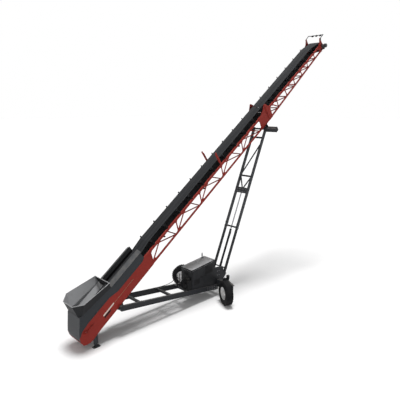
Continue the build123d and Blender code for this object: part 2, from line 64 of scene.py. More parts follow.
# The fold, the head drum's axis along U, both drums' height, and the legs' place across
FOLD_U = 13.3
HEAD_U = 19.45
DRUM_V = -0.042
LEG_Y = 0.365
DUST = (0.30, 0.27, 0.23, 1.0)
PRIMER = (0.09, 0.06, 0.045, 1.0)
WHITE = (1.0, 1.0, 1.0, 1.0)
FLOOR_REACH = 300.0
FLOOR_THICK = 0.02


# Shader maths


class Number:
    """A shader value that adds Math nodes as Python expressions are written."""

    def __init__(self, finish, socket):
        self.finish = finish
        self.socket = socket

    def math(self, operation, a, b):
        node = self.finish.node("ShaderNodeMath", {"operation": operation}, {0: a, 1: b})
        return Number(self.finish, node.outputs[0])

    def __add__(self, other):
        return self.math("ADD", self, other)

    __radd__ = __add__

    def __sub__(self, other):
        return self.math("SUBTRACT", self, other)

    def __rsub__(self, other):
        return self.math("SUBTRACT", other, self)

    def __mul__(self, other):
        return self.math("MULTIPLY", self, other)

    __rmul__ = __mul__

    def above(self, low, high):
        """0 below low, 1 above high, smooth between."""
        node = self.finish.node("ShaderNodeMapRange", {"interpolation_type": "SMOOTHSTEP"},
                                {"Value": self, "From Min": low, "From Max": high})
        return Number(self.finish, node.outputs["Result"])


class Nodes:
    """Adds nodes to a tree."""

    def __init__(self, tree):
        self.tree = tree
        tree.nodes.clear()

    def node(self, kind, settings=None, inputs=None):
        """Adds a node: its settings first, then the values or links of its sockets."""
        added = self.tree.nodes.new(kind)
        for key, value in (settings or {}).items():
            setattr(added, key, value)
        for key, value in (inputs or {}).items():
            self.feed(added.inputs[key], value)
        return added

    def feed(self, socket, value):
        """Sets a socket to a value, or links it to a number, a socket or a node's first output."""
        if isinstance(value, Number):
            value = value.socket
        elif isinstance(value, bpy.types.Node):
            value = value.outputs[0]
        if isinstance(value, bpy.types.NodeSocket):
            self.tree.links.new(value, socket)
        else:
            socket.default_value = value


class Finish(Nodes):
    """One material, built node by node round a Principled shader."""

    def __init__(self, name):
        self.material = bpy.data.materials.new(name)
        self.material.use_nodes = True
        super().__init__(self.material.node_tree)
        self.shader = self.node("ShaderNodeBsdfPrincipled")
        self.node("ShaderNodeOutputMaterial", None, {"Surface": self.shader})
        self.at = self.node("ShaderNodeTexCoord").outputs["Object"]

    def noise(self, scale, detail=3.0, stretch=None):
        """Value noise on the object's own coordinates."""
        where = self.at
        if stretch:
            where = self.node("ShaderNodeMapping", None, {"Vector": self.at, "Scale": stretch})
        node = self.node("ShaderNodeTexNoise", None, {"Vector": where, "Scale": scale, "Detail": detail})
        return Number(self, node.outputs[0])

    def mix(self, factor, a, b):
        return self.node("ShaderNodeMix", {"data_type": "RGBA"}, {0: factor, 6: a, 7: b}).outputs[2]

    def upward(self):
        """How far the surface faces up, from -1 to 1."""
        normal = self.node("ShaderNodeTexCoord").outputs["Normal"]
        return Number(self, self.node("ShaderNodeSeparateXYZ", None, {0: normal}).outputs[2])

    def surface(self, colour, rough, bump=None, strength=0.1, distance=0.002, metallic=0.0):
        for label, value in (("Base Color", colour), ("Roughness", rough), ("Metallic", metallic)):
            self.feed(self.shader.inputs[label], value)
        if bump is not None:
            node = self.node("ShaderNodeBump", None, {"Height": bump, "Strength": strength, "Distance": distance})
            self.feed(self.shader.inputs["Normal"], node)
        return self.material


def shade(colour, factor):
    return tuple(min(c * factor, 1.0) for c in colour[:3]) + (1.0,)


def painted(name, colour, rough=0.42, dust=0.25, wear=0.3, top=None):
    """Sprayed steel: tone that drifts, faint run-off streaks, dust on top faces and a few chips; a top colour is
    painted light, lit on faces that look up over the shaded colour elsewhere.
    """
    f = Finish(name)
    f.feed(f.shader.inputs["Specular IOR Level"], 0.12)
    drift = f.noise(0.9, 3.0)
    grain = f.noise(38.0, 6.0)
    streak = f.noise(1.0, 4.0, (9.0, 9.0, 0.7))
    tone = f.mix(drift, shade(colour, 0.86), shade(colour, 1.12))
    # Painted light: with a top colour, faces that look up take the lit colour and the rest keep the shaded one.
    if top is not None:
        upper = f.mix(drift, shade(top, 0.92), shade(top, 1.08))
        tone = f.mix(f.upward().above(0.04, 0.2), tone, upper)
    tone = f.mix(streak.above(0.55, 0.8) * 0.22, tone, shade(colour, 0.6))
    dusty = f.upward().above(0.25, 0.95) * f.noise(6.0, 5.0).above(0.3, 0.75) * dust
    tone = f.mix(dusty, tone, DUST)
    chip = f.noise(24.0, 8.0).above(0.70, 0.74) * wear
    tone = f.mix(chip, tone, PRIMER)
    uneven = (grain - 0.5) * 0.12 + dusty * 0.35 + chip * 0.3 + rough
    return f.surface(tone, uneven, grain + f.noise(160.0, 2.0) * 0.4, 0.05)


def rubber_belt(name, colour):
    """Belt cover: fine cloth grain, dull, with polished lanes and stone dust along its run."""
    f = Finish(name)
    lane = f.noise(2.4, 3.0, (0.35, 7.0, 0.35))
    speck = f.noise(70.0, 7.0)
    f.feed(f.shader.inputs["Specular IOR Level"], 0.10)
    tone = f.mix(lane.above(0.35, 0.75), shade(colour, 0.8), shade(colour, 1.35))
    tone = f.mix(speck.above(0.62, 0.75) * 0.12, tone, (0.10, 0.095, 0.09, 1.0))
    return f.surface(tone, 0.62 + (speck - 0.5) * 0.2, speck, 0.12, 0.001)


def tyre_rubber(name, colour):
    """Tyre: moulded rubber with a dusty bloom and fine rings."""
    f = Finish(name)
    grit = f.noise(55.0, 7.0)
    bloom = f.noise(4.0, 4.0)
    f.feed(f.shader.inputs["Specular IOR Level"], 0.10)
    tone = f.mix(bloom.above(0.4, 0.75) * 0.4, colour, (0.028, 0.027, 0.026, 1.0))
    tone = f.mix(grit.above(0.6, 0.72) * 0.2, tone, (0.06, 0.055, 0.05, 1.0))
    return f.surface(tone, 0.74 + (grit - 0.5) * 0.2, grit, 0.15, 0.002)


def bare_steel(name, colour, rough=0.28):
    """Ground or plated steel with drawn lines and a little oil."""
    f = Finish(name)
    drawn = f.noise(90.0, 3.0, (1.0, 1.0, 8.0))
    oil = f.noise(5.0, 4.0)
    tone = f.mix(drawn, shade(colour, 0.85), shade(colour, 1.1))
    tone = f.mix(oil.above(0.55, 0.8) * 0.4, tone, shade(colour, 0.35))
    return f.surface(tone, rough + (drawn - 0.5) * 0.14, drawn, 0.05, 0.001, 0.9)


def lamp_glass(name, colour):
    """Lamp lens: ribbed, glossy and slightly tinted."""
    f = Finish(name)
    rib = f.noise(120.0, 2.0, (1.0, 6.0, 1.0))
    tone = f.mix(rib, shade(colour, 0.8), shade(colour, 1.15))
    return f.surface(tone, 0.12 + rib * 0.1, rib, 0.2, 0.001)


# Sizes and colours a user may change


def colour_property(name, description, default):
    return FloatVectorProperty(name=name, description=description, subtype="COLOR", size=4, min=0.0, max=1.0,
                               default=default)


def length_property(name, description, default, least=0.004):
    return FloatProperty(name=name, description=description, default=default, min=least, unit="LENGTH")


class ConveyorColours(PropertyGroup):
    """Paints and rubbers of the machine."""

    red: colour_property("Boom red", "Paint of the lattice and the tail side plates", (0.30, 0.028, 0.020, 1.0))
    slate: colour_property("Panel slate", "Paint of the tail side panels", (0.040, 0.044, 0.050, 1.0))
    frame_grey: colour_property("Frame grey", "Paint of the chassis and the legs", (0.030, 0.032, 0.036, 1.0))
    leg_grey: colour_property("Leg grey", "Paint of the leg sleeves", (0.060, 0.064, 0.070, 1.0))
    cover_grey: colour_property("Cover grey", "Paint of the tail cover and skirts", (0.075, 0.078, 0.083, 1.0))
    # The hopper is one paint: the light colour is painted light on faces that look up, and the dark one is painted
    # shade on the rest.
    hopper_lit_top: colour_property("Hopper lit top", "Painted light on the feed hopper's upward faces", (0.36, 0.365, 0.375, 1.0))
    hopper_shaded_sides: colour_property("Hopper shaded sides", "Painted shade on the feed hopper's other faces",
                                (0.018, 0.019, 0.021, 1.0))
    # The canopy is one paint: the light roof colour is painted light on faces that look up, and the dark side colour
    # is painted shade on the rest.
    canopy_lit_roof: colour_property("Canopy lit roof", "Painted light on the canopy's upward faces", (0.46, 0.465, 0.475, 1.0))
    canopy_shaded_side: colour_property("Canopy shaded sides", "Painted shade on the canopy's other faces", (0.030, 0.031, 0.034, 1.0))
    belt: colour_property("Belt", "Belt cover", (0.022, 0.023, 0.025, 1.0))
    tyre: colour_property("Tyre", "Tyre rubber", (0.008, 0.008, 0.009, 1.0))
    rim: colour_property("Rim", "Paint of the wheel discs", (0.78, 0.78, 0.78, 1.0))


class ConveyorSizes(PropertyGroup):
    """Sizes of the small pieces."""

    bolt_radius: length_property("Bolt head", "Radius of a plate bolt's head", 0.016)
    bolt_height: length_property("Bolt height", "Height of a plate bolt's head", 0.012, 0.003)
    lugs: IntProperty(name="Tread bars", description="Bars round each half of the tread", default=30, min=8)
    lug_depth: length_property("Tread depth", "Height of a tread bar", 0.018)
    hose_radius: length_property("Hose", "Radius of a hydraulic hose", 0.013)


# Mesh helpers


def new_piece(name, mesh, body, material):
    piece = bpy.data.objects.new(name, mesh)
    bpy.context.scene.collection.objects.link(piece)
    piece.data.materials.clear()
    piece.data.materials.append(material)
    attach(piece, body)
    return piece


def evaluated(data, modify=None):
    """The plain mesh of a mesh or a curve, with the modifiers that modify gives its object."""
    carrier = bpy.data.objects.new("work", data)
    bpy.context.scene.collection.objects.link(carrier)
    if modify:
        modify(carrier)
    bpy.context.view_layer.update()
    result = bpy.data.meshes.new_from_object(carrier.evaluated_get(bpy.context.evaluated_depsgraph_get()))
    bpy.data.objects.remove(carrier)
    return result


def joined(name, meshes):
    target = bmesh.new()
    for mesh in meshes:
        target.from_mesh(mesh)
    result = bpy.data.meshes.new(name)
    target.to_mesh(result)
    target.free()
    return result


def smoothed(mesh):
    mesh.polygons.foreach_set("use_smooth", [True] * len(mesh.polygons))
    return mesh


class Builder:
    """Collects the solids of one piece."""

    def __init__(self, place=None):
        self.bm = bmesh.new()
        self.place = place or Matrix.Identity(4)

    def box(self, x, y, z, turn=None):
        """A block between two values on each axis, turned about its own middle."""
        size = [b - a for a, b in (x, y, z)]
        middle = Matrix.Translation([(a + b) / 2 for a, b in (x, y, z)])
        place = self.place @ middle @ (turn or Matrix.Identity(4)) @ Matrix.Diagonal((*size, 1.0))
        bmesh.ops.create_cube(self.bm, size=1.0, matrix=place)

    def bar(self, a, b, r, sides=16, r_end=None):
        """A round bar between two points."""
        a, b = Vector(a), Vector(b)
        turn = (b - a).to_track_quat("Z", "Y").to_matrix().to_4x4()
        bmesh.ops.create_cone(self.bm, cap_ends=True, segments=sides, radius1=r, radius2=r_end or r,
                              depth=(b - a).length, matrix=self.place @ Matrix.Translation((a + b) / 2) @ turn)

    def ball(self, at, r):
        bmesh.ops.create_icosphere(self.bm, subdivisions=2, radius=r, matrix=self.place @ Matrix.Translation(at))

    def turned(self, axis, at, *steps):
        """Round steps along an axis: each goes from, to, with its radius, sides and end radius."""
        for start, end, *shape in steps:
            self.bar(*([where if i == axis else at[i] for i in range(3)] for where in (start, end)), *shape)

    def loft(self, rings, closed=False):
        """Joins rings of points: the two ends get caps, or the last ring joins the first."""
        rings = [[self.bm.verts.new(self.place @ Vector(point)) for point in ring] for ring in rings]
        if not closed:
            self.bm.faces.new(rings[0])
            self.bm.faces.new(rings[-1][::-1])
        for a, b in zip(rings, rings[1:] + rings[:1] if closed else rings[1:]):
            for i in range(len(a)):
                j = (i + 1) % len(a)
                self.bm.faces.new((a[i], b[i], b[j], a[j]))

    def prism(self, outline, y0, y1):
        """A plate cut to a side outline (x, z), from y0 to y1."""
        self.loft([[(x, y, z) for x, z in outline] for y in (y0, y1)])

    def sheet(self, x0, x1, section):
        """A sheet along X with its section (y, z) given across it."""
        self.loft([[(x, y, z) for y, z in section] for x in (x0, x1)])

    def ring(self, start, end, inner, outer, steps=28):
        """A collar round the X axis of the builder's place."""
        section = ((start, inner), (end, inner), (end, outer), (start, outer))
        angles = [2 * pi * i / steps for i in range(steps)]
        self.loft([[(x, r * cos(a), r * sin(a)) for x, r in section] for a in angles], True)

    def mirror(self):
        """Adds the like of everything so far on the other side of the machine."""
        copy = bmesh.ops.duplicate(self.bm, geom=self.bm.verts[:] + self.bm.edges[:] + self.bm.faces[:])
        for part in copy["geom"]:
            if isinstance(part, bmesh.types.BMVert):
                part.co.y = -part.co.y

    def mesh(self, name, bevel=0.0, smooth=False):
        bmesh.ops.recalc_face_normals(self.bm, faces=self.bm.faces)
        mesh = bpy.data.meshes.new(name)
        self.bm.to_mesh(mesh)
        self.bm.free()

        def soften(carrier):
            edge = carrier.modifiers.new("Bevel", "BEVEL")
            edge.width, edge.segments, edge.limit_method = bevel, 2, "ANGLE"

        if bevel:
            mesh = evaluated(mesh, soften)
        if smooth:
            smoothed(mesh).set_sharp_from_angle(angle=radians(35))
        return mesh


def hose_mesh(name, points, radius):
    """A round hose through the points, on a smooth curve."""
    curve = bpy.data.curves.new(name, "CURVE")
    curve.dimensions = "3D"
    curve.bevel_depth = radius
    curve.bevel_resolution = 3
    curve.use_fill_caps = True
    spline = curve.splines.new("NURBS")
    spline.points.add(len(points) - 1)
    for point, where in zip(spline.points, points):
        point.co = (*where, 1.0)
    spline.order_u = 3
    spline.use_endpoint_u = True
    return evaluated(curve)


# Geometry Nodes


class Rule(Nodes):
    """A Geometry Nodes tree with named inputs."""

    def __init__(self, name, **sizes):
        super().__init__(bpy.data.node_groups.new(name, "GeometryNodeTree"))
        face = self.tree.interface
        face.new_socket("Geometry", in_out="INPUT", socket_type="NodeSocketGeometry")
        for label, kind in sizes.items():
            face.new_socket(label, in_out="INPUT", socket_type="NodeSocket" + kind)
        face.new_socket("Geometry", in_out="OUTPUT", socket_type="NodeSocketGeometry")
        self.entry = self.node("NodeGroupInput").outputs

    def number(self, operation, *values):
        return self.node("ShaderNodeMath", {"operation": operation}, dict(enumerate(values)))

    def vector(self, axis, value):
        return self.node("ShaderNodeCombineXYZ", None, {axis: value})

    def close(self, points, shape, turn, material):
        """Puts the shape at every point, and ends the tree in plain geometry with its material."""
        placed = self.node("GeometryNodeInstanceOnPoints", None,
                           {"Points": points, "Instance": shape, "Rotation": turn})
        real = self.node("GeometryNodeRealizeInstances", None, {0: placed})
        dressed = self.node("GeometryNodeSetMaterial", None, {0: real, "Material": material})
        self.node("NodeGroupOutput", None, {0: dressed})
        return self

    def run(self, points, **values):
        """The plain mesh that the tree makes from the points."""
        mesh = bpy.data.meshes.new("points")
        mesh.from_pydata(points, [], [])

        def follow(carrier):
            modifier = carrier.modifiers.new("Rule", "NODES")
            modifier.node_group = self.tree
            for item in self.tree.interface.items_tree:
                if item.in_out == "INPUT" and item.name in values:
                    modifier[item.identifier] = values[item.name]

        return evaluated(mesh, follow)


def bolt_rule(material):
    """A hexagon head on a washer at every point, all turned the same way."""
    rule = Rule("Bolt heads", Radius="Float", Height="Float", Turn="Vector")
    entry = rule.entry
    both = rule.node("GeometryNodeJoinGeometry")
    for sides, wide, thick in ((6, 1.0, 1.0), (16, 1.45, 0.5)):
        disc = rule.node("GeometryNodeMeshCylinder", None, {
            "Vertices": sides, "Radius": rule.number("MULTIPLY", entry["Radius"], wide),
            "Depth": rule.number("MULTIPLY", entry["Height"], thick)})
        rule.feed(both.inputs[0], disc)
    return rule.close(entry["Geometry"], both, entry["Turn"], material)


def row_rule(material):
    """A straight row of like slats."""
    rule = Rule("Slat row", Count="Int", Step="Vector", Size="Vector", Tilt="Vector")
    entry = rule.entry
    line = rule.node("GeometryNodeMeshLine", None, {"Count": entry["Count"], "Offset": entry["Step"]})
    slat = rule.node("GeometryNodeMeshCube", None, {"Size": entry["Size"]})
    return rule.close(line, slat, entry["Tilt"], material)


def tread_rule(material):
    """Slanting bars round one half of a tyre, whose axle is the X axis."""
    rule = Rule("Tread bars", Bars="Int", Radius="Float", Phase="Float", Across="Float", Lean="Float", Bar="Vector")
    entry = rule.entry
    ring = rule.node("GeometryNodeMeshCircle", None, {"Vertices": entry["Bars"], "Radius": entry["Radius"]})
    turned = rule.node("GeometryNodeTransform", None, {"Geometry": ring, "Rotation": rule.vector(2, entry["Phase"])})
    upright = rule.node("GeometryNodeTransform", None, {"Geometry": turned, "Rotation": (0.0, pi / 2, 0.0)})
    bar = rule.node("GeometryNodeMeshCube", None, {"Size": entry["Bar"]})
    leaning = rule.node("GeometryNodeTransform", None, {
        "Geometry": bar, "Translation": rule.vector(0, entry["Across"]), "Rotation": rule.vector(2, entry["Lean"])})
    step = rule.number("DIVIDE", 2 * pi, entry["Bars"])
    angle = rule.number("MULTIPLY_ADD", rule.node("GeometryNodeInputIndex"), step, entry["Phase"])
    return rule.close(upright, leaning, rule.vector(0, angle), material)


# Pieces


SKINS = {}


def colours():
    return bpy.context.scene.conveyor_colours


def sizes():
    return bpy.context.scene.conveyor_sizes


def skin(name):
    """A finish by name, made when it is first asked for."""
    if name not in SKINS:
        c = colours()
        SKINS[name] = {
            "red paint": lambda: painted(name, c.red),
            "slate paint": lambda: painted(name, c.slate, 0.38),
            "frame paint": lambda: painted(name, c.frame_grey, 0.42),
            "leg paint": lambda: painted(name, c.leg_grey, 0.42),
            "cover paint": lambda: painted(name, c.cover_grey, 0.5),
            # Hopper: painted light on the faces that look up over painted shade elsewhere.
            "hopper paint": lambda: painted(name, c.hopper_shaded_sides, 0.55, 0.3, 0.5, c.hopper_lit_top),
            # Liners and the hopper rim take the hopper's lit colour on every face: painted light.
            "liner paint": lambda: painted(name, shade(c.hopper_lit_top, 0.9), 0.5),
            "slide plate": lambda: painted(name, (0.80, 0.70, 0.63, 1.0), 0.5, 0.1, 0.1),
            # Canopy: painted light on the roof over painted shade on the sides.
            "canopy paint": lambda: painted(name, c.canopy_shaded_side, 0.45, 0.25, 0.3, c.canopy_lit_roof),
            "rim paint": lambda: painted(name, c.rim, 0.4, 0.1, 0.15),
            "roller steel": lambda: painted(name, shade(c.frame_grey, 1.3), 0.5),
            "dark steel": lambda: painted(name, (0.012, 0.012, 0.013, 1.0), 0.5, 0.1, 0.2),
            # Painted edge highlight: a tan tone that stands for light on a folded seam.
            "worn edge": lambda: painted(name, (0.33, 0.20, 0.13, 1.0), 0.5, 0.1, 0.2),
            "belt rubber": lambda: rubber_belt(name, c.belt),
            "hose rubber": lambda: rubber_belt(name, shade(c.tyre, 1.2)),
            "tyre rubber": lambda: tyre_rubber(name, c.tyre),
            "rod steel": lambda: bare_steel(name, (0.34, 0.34, 0.36, 1.0)),
            "bolt steel": lambda: bare_steel(name, (0.22, 0.22, 0.23, 1.0), 0.4),
            "lamp glass": lambda: lamp_glass(name, (0.55, 0.57, 0.6, 1.0)),
        }[name]()
    return SKINS[name]


FINISHES = (
    ("red paint", ("boom_truss_left", "boom_truss_right", "head_truss_left", "head_truss_right", "boom_ties",
                   "head_ties", "tail_plates", "fold_plates", "head_fold_plates", "head_plates", "fold_rests")),
    ("slate paint", ("tail_panels", "tail_feet", "valve_bank", "drive_motor", "hydraulic_cabinet", "head_hoop")),
    ("cover paint", ("tail_cover", "skirts")),
    ("frame paint", ("chassis_frame", "axle_beam", "wheel_arm_left", "wheel_arm_right", "boom_brackets",
                     "legs_lower")),
    ("leg paint", ("legs_upper",)),
    ("hopper paint", ("hopper",)),
    ("canopy paint", ("canopy",)),
    ("belt rubber", ("belt_lower", "belt_head")),
    ("tyre rubber", ("tyre_left", "tyre_right")),
    ("rim paint", ("rim_left", "rim_right")),
    ("roller steel", ("boom_idlers", "head_idlers", "boom_returns", "head_returns", "tail_drum", "head_drum",
                      "engine")),
    ("rod steel", ("ram_rod", "exhaust")),
)


def made(name, body, finish, builder, bevel=0.0, smooth=False):
    """One dressed piece from a builder's solids."""
    return new_piece(name, builder.mesh(name, bevel, smooth), body, skin(finish))


def bolted(name, body, place, points, turn, radius, height, finish="bolt steel"):
    """A hexagon head at every point of one body."""
    mesh = bolt_rule(skin(finish)).run(points, Radius=radius, Height=height, Turn=turn)
    mesh.transform(place)
    return new_piece(name, mesh, body, skin(finish))


def slatted(name, body, finish, place, rows):
    """Rows of slats: each row has its start, count, step, size and tilt."""
    meshes = []
    for start, count, step, size, tilt in rows:
        meshes.append(row_rule(skin(finish)).run([(0, 0, 0)], Count=count, Step=step, Size=size, Tilt=tilt))
        meshes[-1].transform(place @ Matrix.Translation(start))
    return new_piece(name, joined(name, meshes), body, skin(finish))


def hosed(name, body, runs, place):
    """Hoses along their runs of points, all in one piece."""
    mesh = joined(name, [hose_mesh(name, points, sizes().hose_radius) for points in runs])
    mesh.transform(place)
    return new_piece(name, smoothed(mesh), body, skin("hose rubber"))


def both_wheels(name, body, finish, mesh):
    """A right-hand piece in its wheel's place, and its like on the left."""
    for hand in ("right", "left"):
        copy = mesh.copy()
        if hand == "left":
            copy.transform(ACROSS)
            copy.flip_normals()
        new_piece(f"{name}_{hand}", copy, f"{body}_{hand}", skin(finish))


def mirrored(points):
    """The points and their likes on the other side."""
    return [(x, side * y, z) for side in (-1, 1) for x, y, z in points]


def spaced(a, b, count):
    return [a + (b - a) * i / (count - 1) for i in range(count)]


class CONVEYOR_OT_finish(Operator):
    """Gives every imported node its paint, rubber or steel."""

    bl_idname = "conveyor.finish_steelwork"
    bl_label = "Finish the steelwork"

    def execute(self, context):
        for name, nodes in FINISHES:
            for node in nodes:
                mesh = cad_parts[node].data
                mesh.materials.clear()
                mesh.materials.append(skin(name))
        return {"FINISHED"}


# Hopper rim corners: X from the tail datum, Y and Z
RIM = [(-0.381, 0.33, 1.863), (-0.080, 0.66, 1.971), (1.096, 0.50, 2.395)]

# Lower nodes of the lattice and how far the bars' tops lean from them
BOOM_NODES = [3.755 + 1.753 * i for i in range(6)]
BOOM_LACING = [(u, lean) for u in BOOM_NODES for lean in (0.16, 0.74)]
HEAD_LACING = ((14.27, -0.38), (14.27, 0.06), (15.21, -0.03), (16.11, -0.47), (16.11, 0.04), (16.94, -0.01),
               (17.63, -0.32), (17.63, 0.06), (18.50, -0.03))
HEAD_TIES = (14.27, 15.21, 16.11, 17.00, 17.80, 18.60)
CHORD = 0.05
LOW_DEPTH = 0.08
FOLD_GAP = 0.012
# Lacing bars: half their width and thickness, and how far they run into the chords
LACE_HALF = 0.029
LACE_THIN = 0.010
BITE = 0.002
TIE_HALF = 0.02

HOOP_TOP = 0.425
HOOP_RADIUS = 0.021

# Belt sections along the boom frame: place, flat height, edge height, edge place across
BELT_SECTIONS = {
    "belt_lower": ((0.0, 0.16, 0.1605, 0.323), (0.7, 0.16, 0.249, 0.301), (3.5, 0.16, 0.249, 0.301),
                   (4.2, 0.27, 0.345, 0.290), (FOLD_U - FOLD_GAP, 0.27, 0.345, 0.290)),
    "belt_head": ((FOLD_U + FOLD_GAP, 0.27, 0.345, 0.290), (18.58, 0.27, 0.345, 0.290),
                  (HEAD_U, 0.16, 0.1605, 0.323)),
}
BELT_FLAT = 0.13
BELT_REACH = 0.323
BELT_THICK = 0.01
RETURN_V = -0.045
BELT_RADIUS = 0.202
ROLLER_RADIUS = 0.045

BOLT_ROWS = (
    # group, outer face, (u0, v0), (u1, v1), count
    ("panel", 0.4423, (0.36, 0.185), (1.46, 0.185), 7),
    ("panel", 0.4423, (1.96, 0.065), (3.38, 0.065), 8),
    ("panel", 0.4423, (1.86, 0.385), (3.48, 0.380), 9),
    ("panel", 0.4423, (0.06, 0.30), (0.38, 0.50), 3),
    ("tail", 0.4423, (0.25, -0.49), (3.60, -0.485), 14),
    ("tail", 0.4400, (13.215, -0.46), (13.215, 0.22), 8),
    ("tail", 0.4400, (12.56, -0.46), (13.10, -0.46), 4),
    ("head", 0.4503, (13.365, -0.46), (13.365, 0.22), 8),
    ("head", 0.4503, (13.44, -0.44), (13.53, -0.44), 2),
    ("head", 0.4423, (19.08, -0.22), (19.08, 0.08), 4),
    ("head", 0.4423, (19.16, -0.245), (19.36, -0.235), 3),
    ("head", 0.4423, (19.47, 0.16), (19.455, 0.38), 3),
)


def low_edge(u):
    """Height of the lower chord's underside: level in the boom, rising along the head."""
    return -0.51 + max(0.0, u - FOLD_U) * 0.248 / (HEAD_U - FOLD_U)


def canopy_top(x):
    """Height of the canopy roof at a distance from the tail datum."""
    return 1.714 + (x - 5.38) * 0.0959


def beam_top(x):
    """Height of the main beams' top at a distance from the tail datum."""
    return 1.305 - (x - 1.62) * 0.137


def between(x0, x1, lower, under, upper, over):
    """A side outline from x0 to x1, between two rules of height that are each moved by an offset."""
    return ((x0, lower(x0) + under), (x1, lower(x1) + under), (x1, upper(x1) + over), (x0, upper(x0) + over))


class CONVEYOR_OT_lattice(Operator):
    """Builds both lattice booms with their chords, lacing and cross ties; the head's tapers to its tip."""

    bl_idname = "conveyor.lattice"
    bl_label = "Lattice booms"

    @staticmethod
    def side(u0, u1, lacing, side):
        b = Builder(BOOM)
        w = sorted((side * (HALF - CHORD), side * HALF))
        b.prism(((u0, 0.0), (u1, 0.0), (u1, 0.11), (u0, 0.11)), *w)
        b.prism(between(u0, u1, low_edge, 0.0, low_edge, LOW_DEPTH), *w)
        middle = side * (HALF - CHORD / 2)
        for u, lean in lacing:
            foot, top = low_edge(u) + LOW_DEPTH - BITE, BITE
            half = LACE_HALF * hypot(lean, top - foot) / (top - foot)
            b.prism(((u - half, foot), (u + half, foot), (u + lean + half, top), (u + lean - half, top)),
                    middle - LACE_THIN, middle + LACE_THIN)
        return b

    @staticmethod
    def ties(places):
        b = Builder(BOOM)
        inside = HALF - CHORD
        for u, reach in places:
            v = (low_edge(u - reach) + 0.001, low_edge(u - reach) + 0.041)
            b.box((u - TIE_HALF, u + TIE_HALF), (-inside, inside), v)
            if reach:
                turn = Matrix.Rotation(atan2(2 * inside, -reach), 4, "Z")
                half = hypot(reach, 2 * inside) / 2 - 0.03
                b.box((u - reach / 2 - half, u - reach / 2 + half), (-TIE_HALF, TIE_HALF), v, turn)
        return b

    def execute(self, context):
        for body, u0, u1, lacing in (("boom", 3.35, FOLD_U - FOLD_GAP, BOOM_LACING),
                                     ("head", FOLD_U + FOLD_GAP, HEAD_U - 0.25, HEAD_LACING)):
            for hand, side in (("left", 1), ("right", -1)):
                piece = made(f"{body}_lattice_{hand}", body, "red paint",
                             self.side(u0, u1, lacing, side), 0.003)
                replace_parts(piece, f"{body}_truss_{hand}")
        boom = [(u - 0.16, 0.8765) for u in BOOM_NODES[1:]] + [(FOLD_U - 0.18, 0.0)]
        for body, places in (("boom", boom), ("head", [(u, 0.70) for u in HEAD_TIES])):
            piece = made(body + "_cross_ties", body, "red paint", self.ties(places), 0.002)
            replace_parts(piece, body + "_ties")
        return {"FINISHED"}


class CONVEYOR_OT_head_end(Operator):
    """Builds the head's side plates with their horns, and the tube hoop that stands on them."""

    bl_idname = "conveyor.head_end"
    bl_label = "Head plates and hoop"

    def execute(self, context):
        u = HEAD_U
        plates = Builder(BOOM)
        plates.prism(((u - 0.42, low_edge(u - 0.42)), (u - 0.03, low_edge(u)), (u + 0.06, -0.15), (u + 0.07, 0.10),
                      (u + 0.06, 0.30), (u + 0.05, 0.45), (u - 0.04, 0.45), (u - 0.18, 0.25), (u - 0.42, 0.11)),
                     PLATE_IN, SIDE)
        plates.mirror()
        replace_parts(made("head_side_plates", "head", "red paint", plates, 0.003), "head_plates")
        hoop = Builder(BOOM)
        leg = SIDE + 0.0225
        path = ((u - 0.02, leg, 0.30), (u + 0.01, leg, 0.42), (u + 0.365, leg, 0.445), (u + 0.375, 0.33, HOOP_TOP))
        for a, b in zip(path, path[1:]):
            hoop.bar(a, b, HOOP_RADIUS, 12)
            hoop.ball(b, HOOP_RADIUS + 0.0003)
        hoop.mirror()
        hoop.turned(1, path[-1], (-0.33, 0.33, HOOP_RADIUS, 12))
        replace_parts(made("head_tube_hoop", "head", "slate paint", hoop, smooth=True), "head_hoop")
        return {"FINISHED"}


class CONVEYOR_OT_fold_covers(Operator):
    """Adds the strips that cover the gap at the fold, and the hinge pins' heads."""

    bl_idname = "conveyor.fold_covers"
    bl_label = "Fold covers"

    def execute(self, context):
        b = Builder(BOOM)
        b.box((FOLD_U + 0.014, FOLD_U + 0.040), (0.4502, 0.4556), (-0.49, 0.30))
        b.box((FOLD_U - 0.030, FOLD_U + 0.040), (0.4556, 0.4606), (-0.49, 0.30))
        b.turned(1, (FOLD_U, 0, 0.40), (0.4504, 0.466, 0.040, 24))
        b.mirror()
        made("fold_covers", "head", "red paint", b, 0.001)
        return {"FINISHED"}


class CONVEYOR_OT_boards(Operator):
    """Builds the rubbing boards with their sloping decks, and the liners inside the hopper's foot."""

    bl_idname = "conveyor.boards"
    bl_label = "Skirts and liners"

    def execute(self, context):
        boards = Builder(BOOM)
        boards.box((1.815, 3.60), (0.262, 0.270), (0.235, 0.500))
        for u in spaced(1.86, 3.51, 12):
            boards.box((u, u + 0.04), (0.270, 0.284), (0.25, 0.48))
        boards.sheet(1.815, 3.60, ((0.262, 0.494), (0.262, 0.502), (HALF, 0.406), (HALF, 0.398)))
        boards.mirror()
        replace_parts(made("rubbing_boards", "boom", "cover paint", boards, 0.002), "skirts")
        # The liners are grey all over in the hopper's lit colour, painted light that hides their shade.
        liners = Builder(BOOM)
        liners.sheet(0.44, 1.775, ((0.262, 0.240), (0.270, 0.240), (HALF, 0.395), (HALF, 0.403)))
        liners.prism(((0.44, 0.395), (1.775, 0.395), (1.775, 0.414), (0.44, 0.566)), HALF - 0.006, HALF)
        liners.mirror()
        made("hopper_liners", "boom", "liner paint", liners, 0.001)
        return {"FINISHED"}


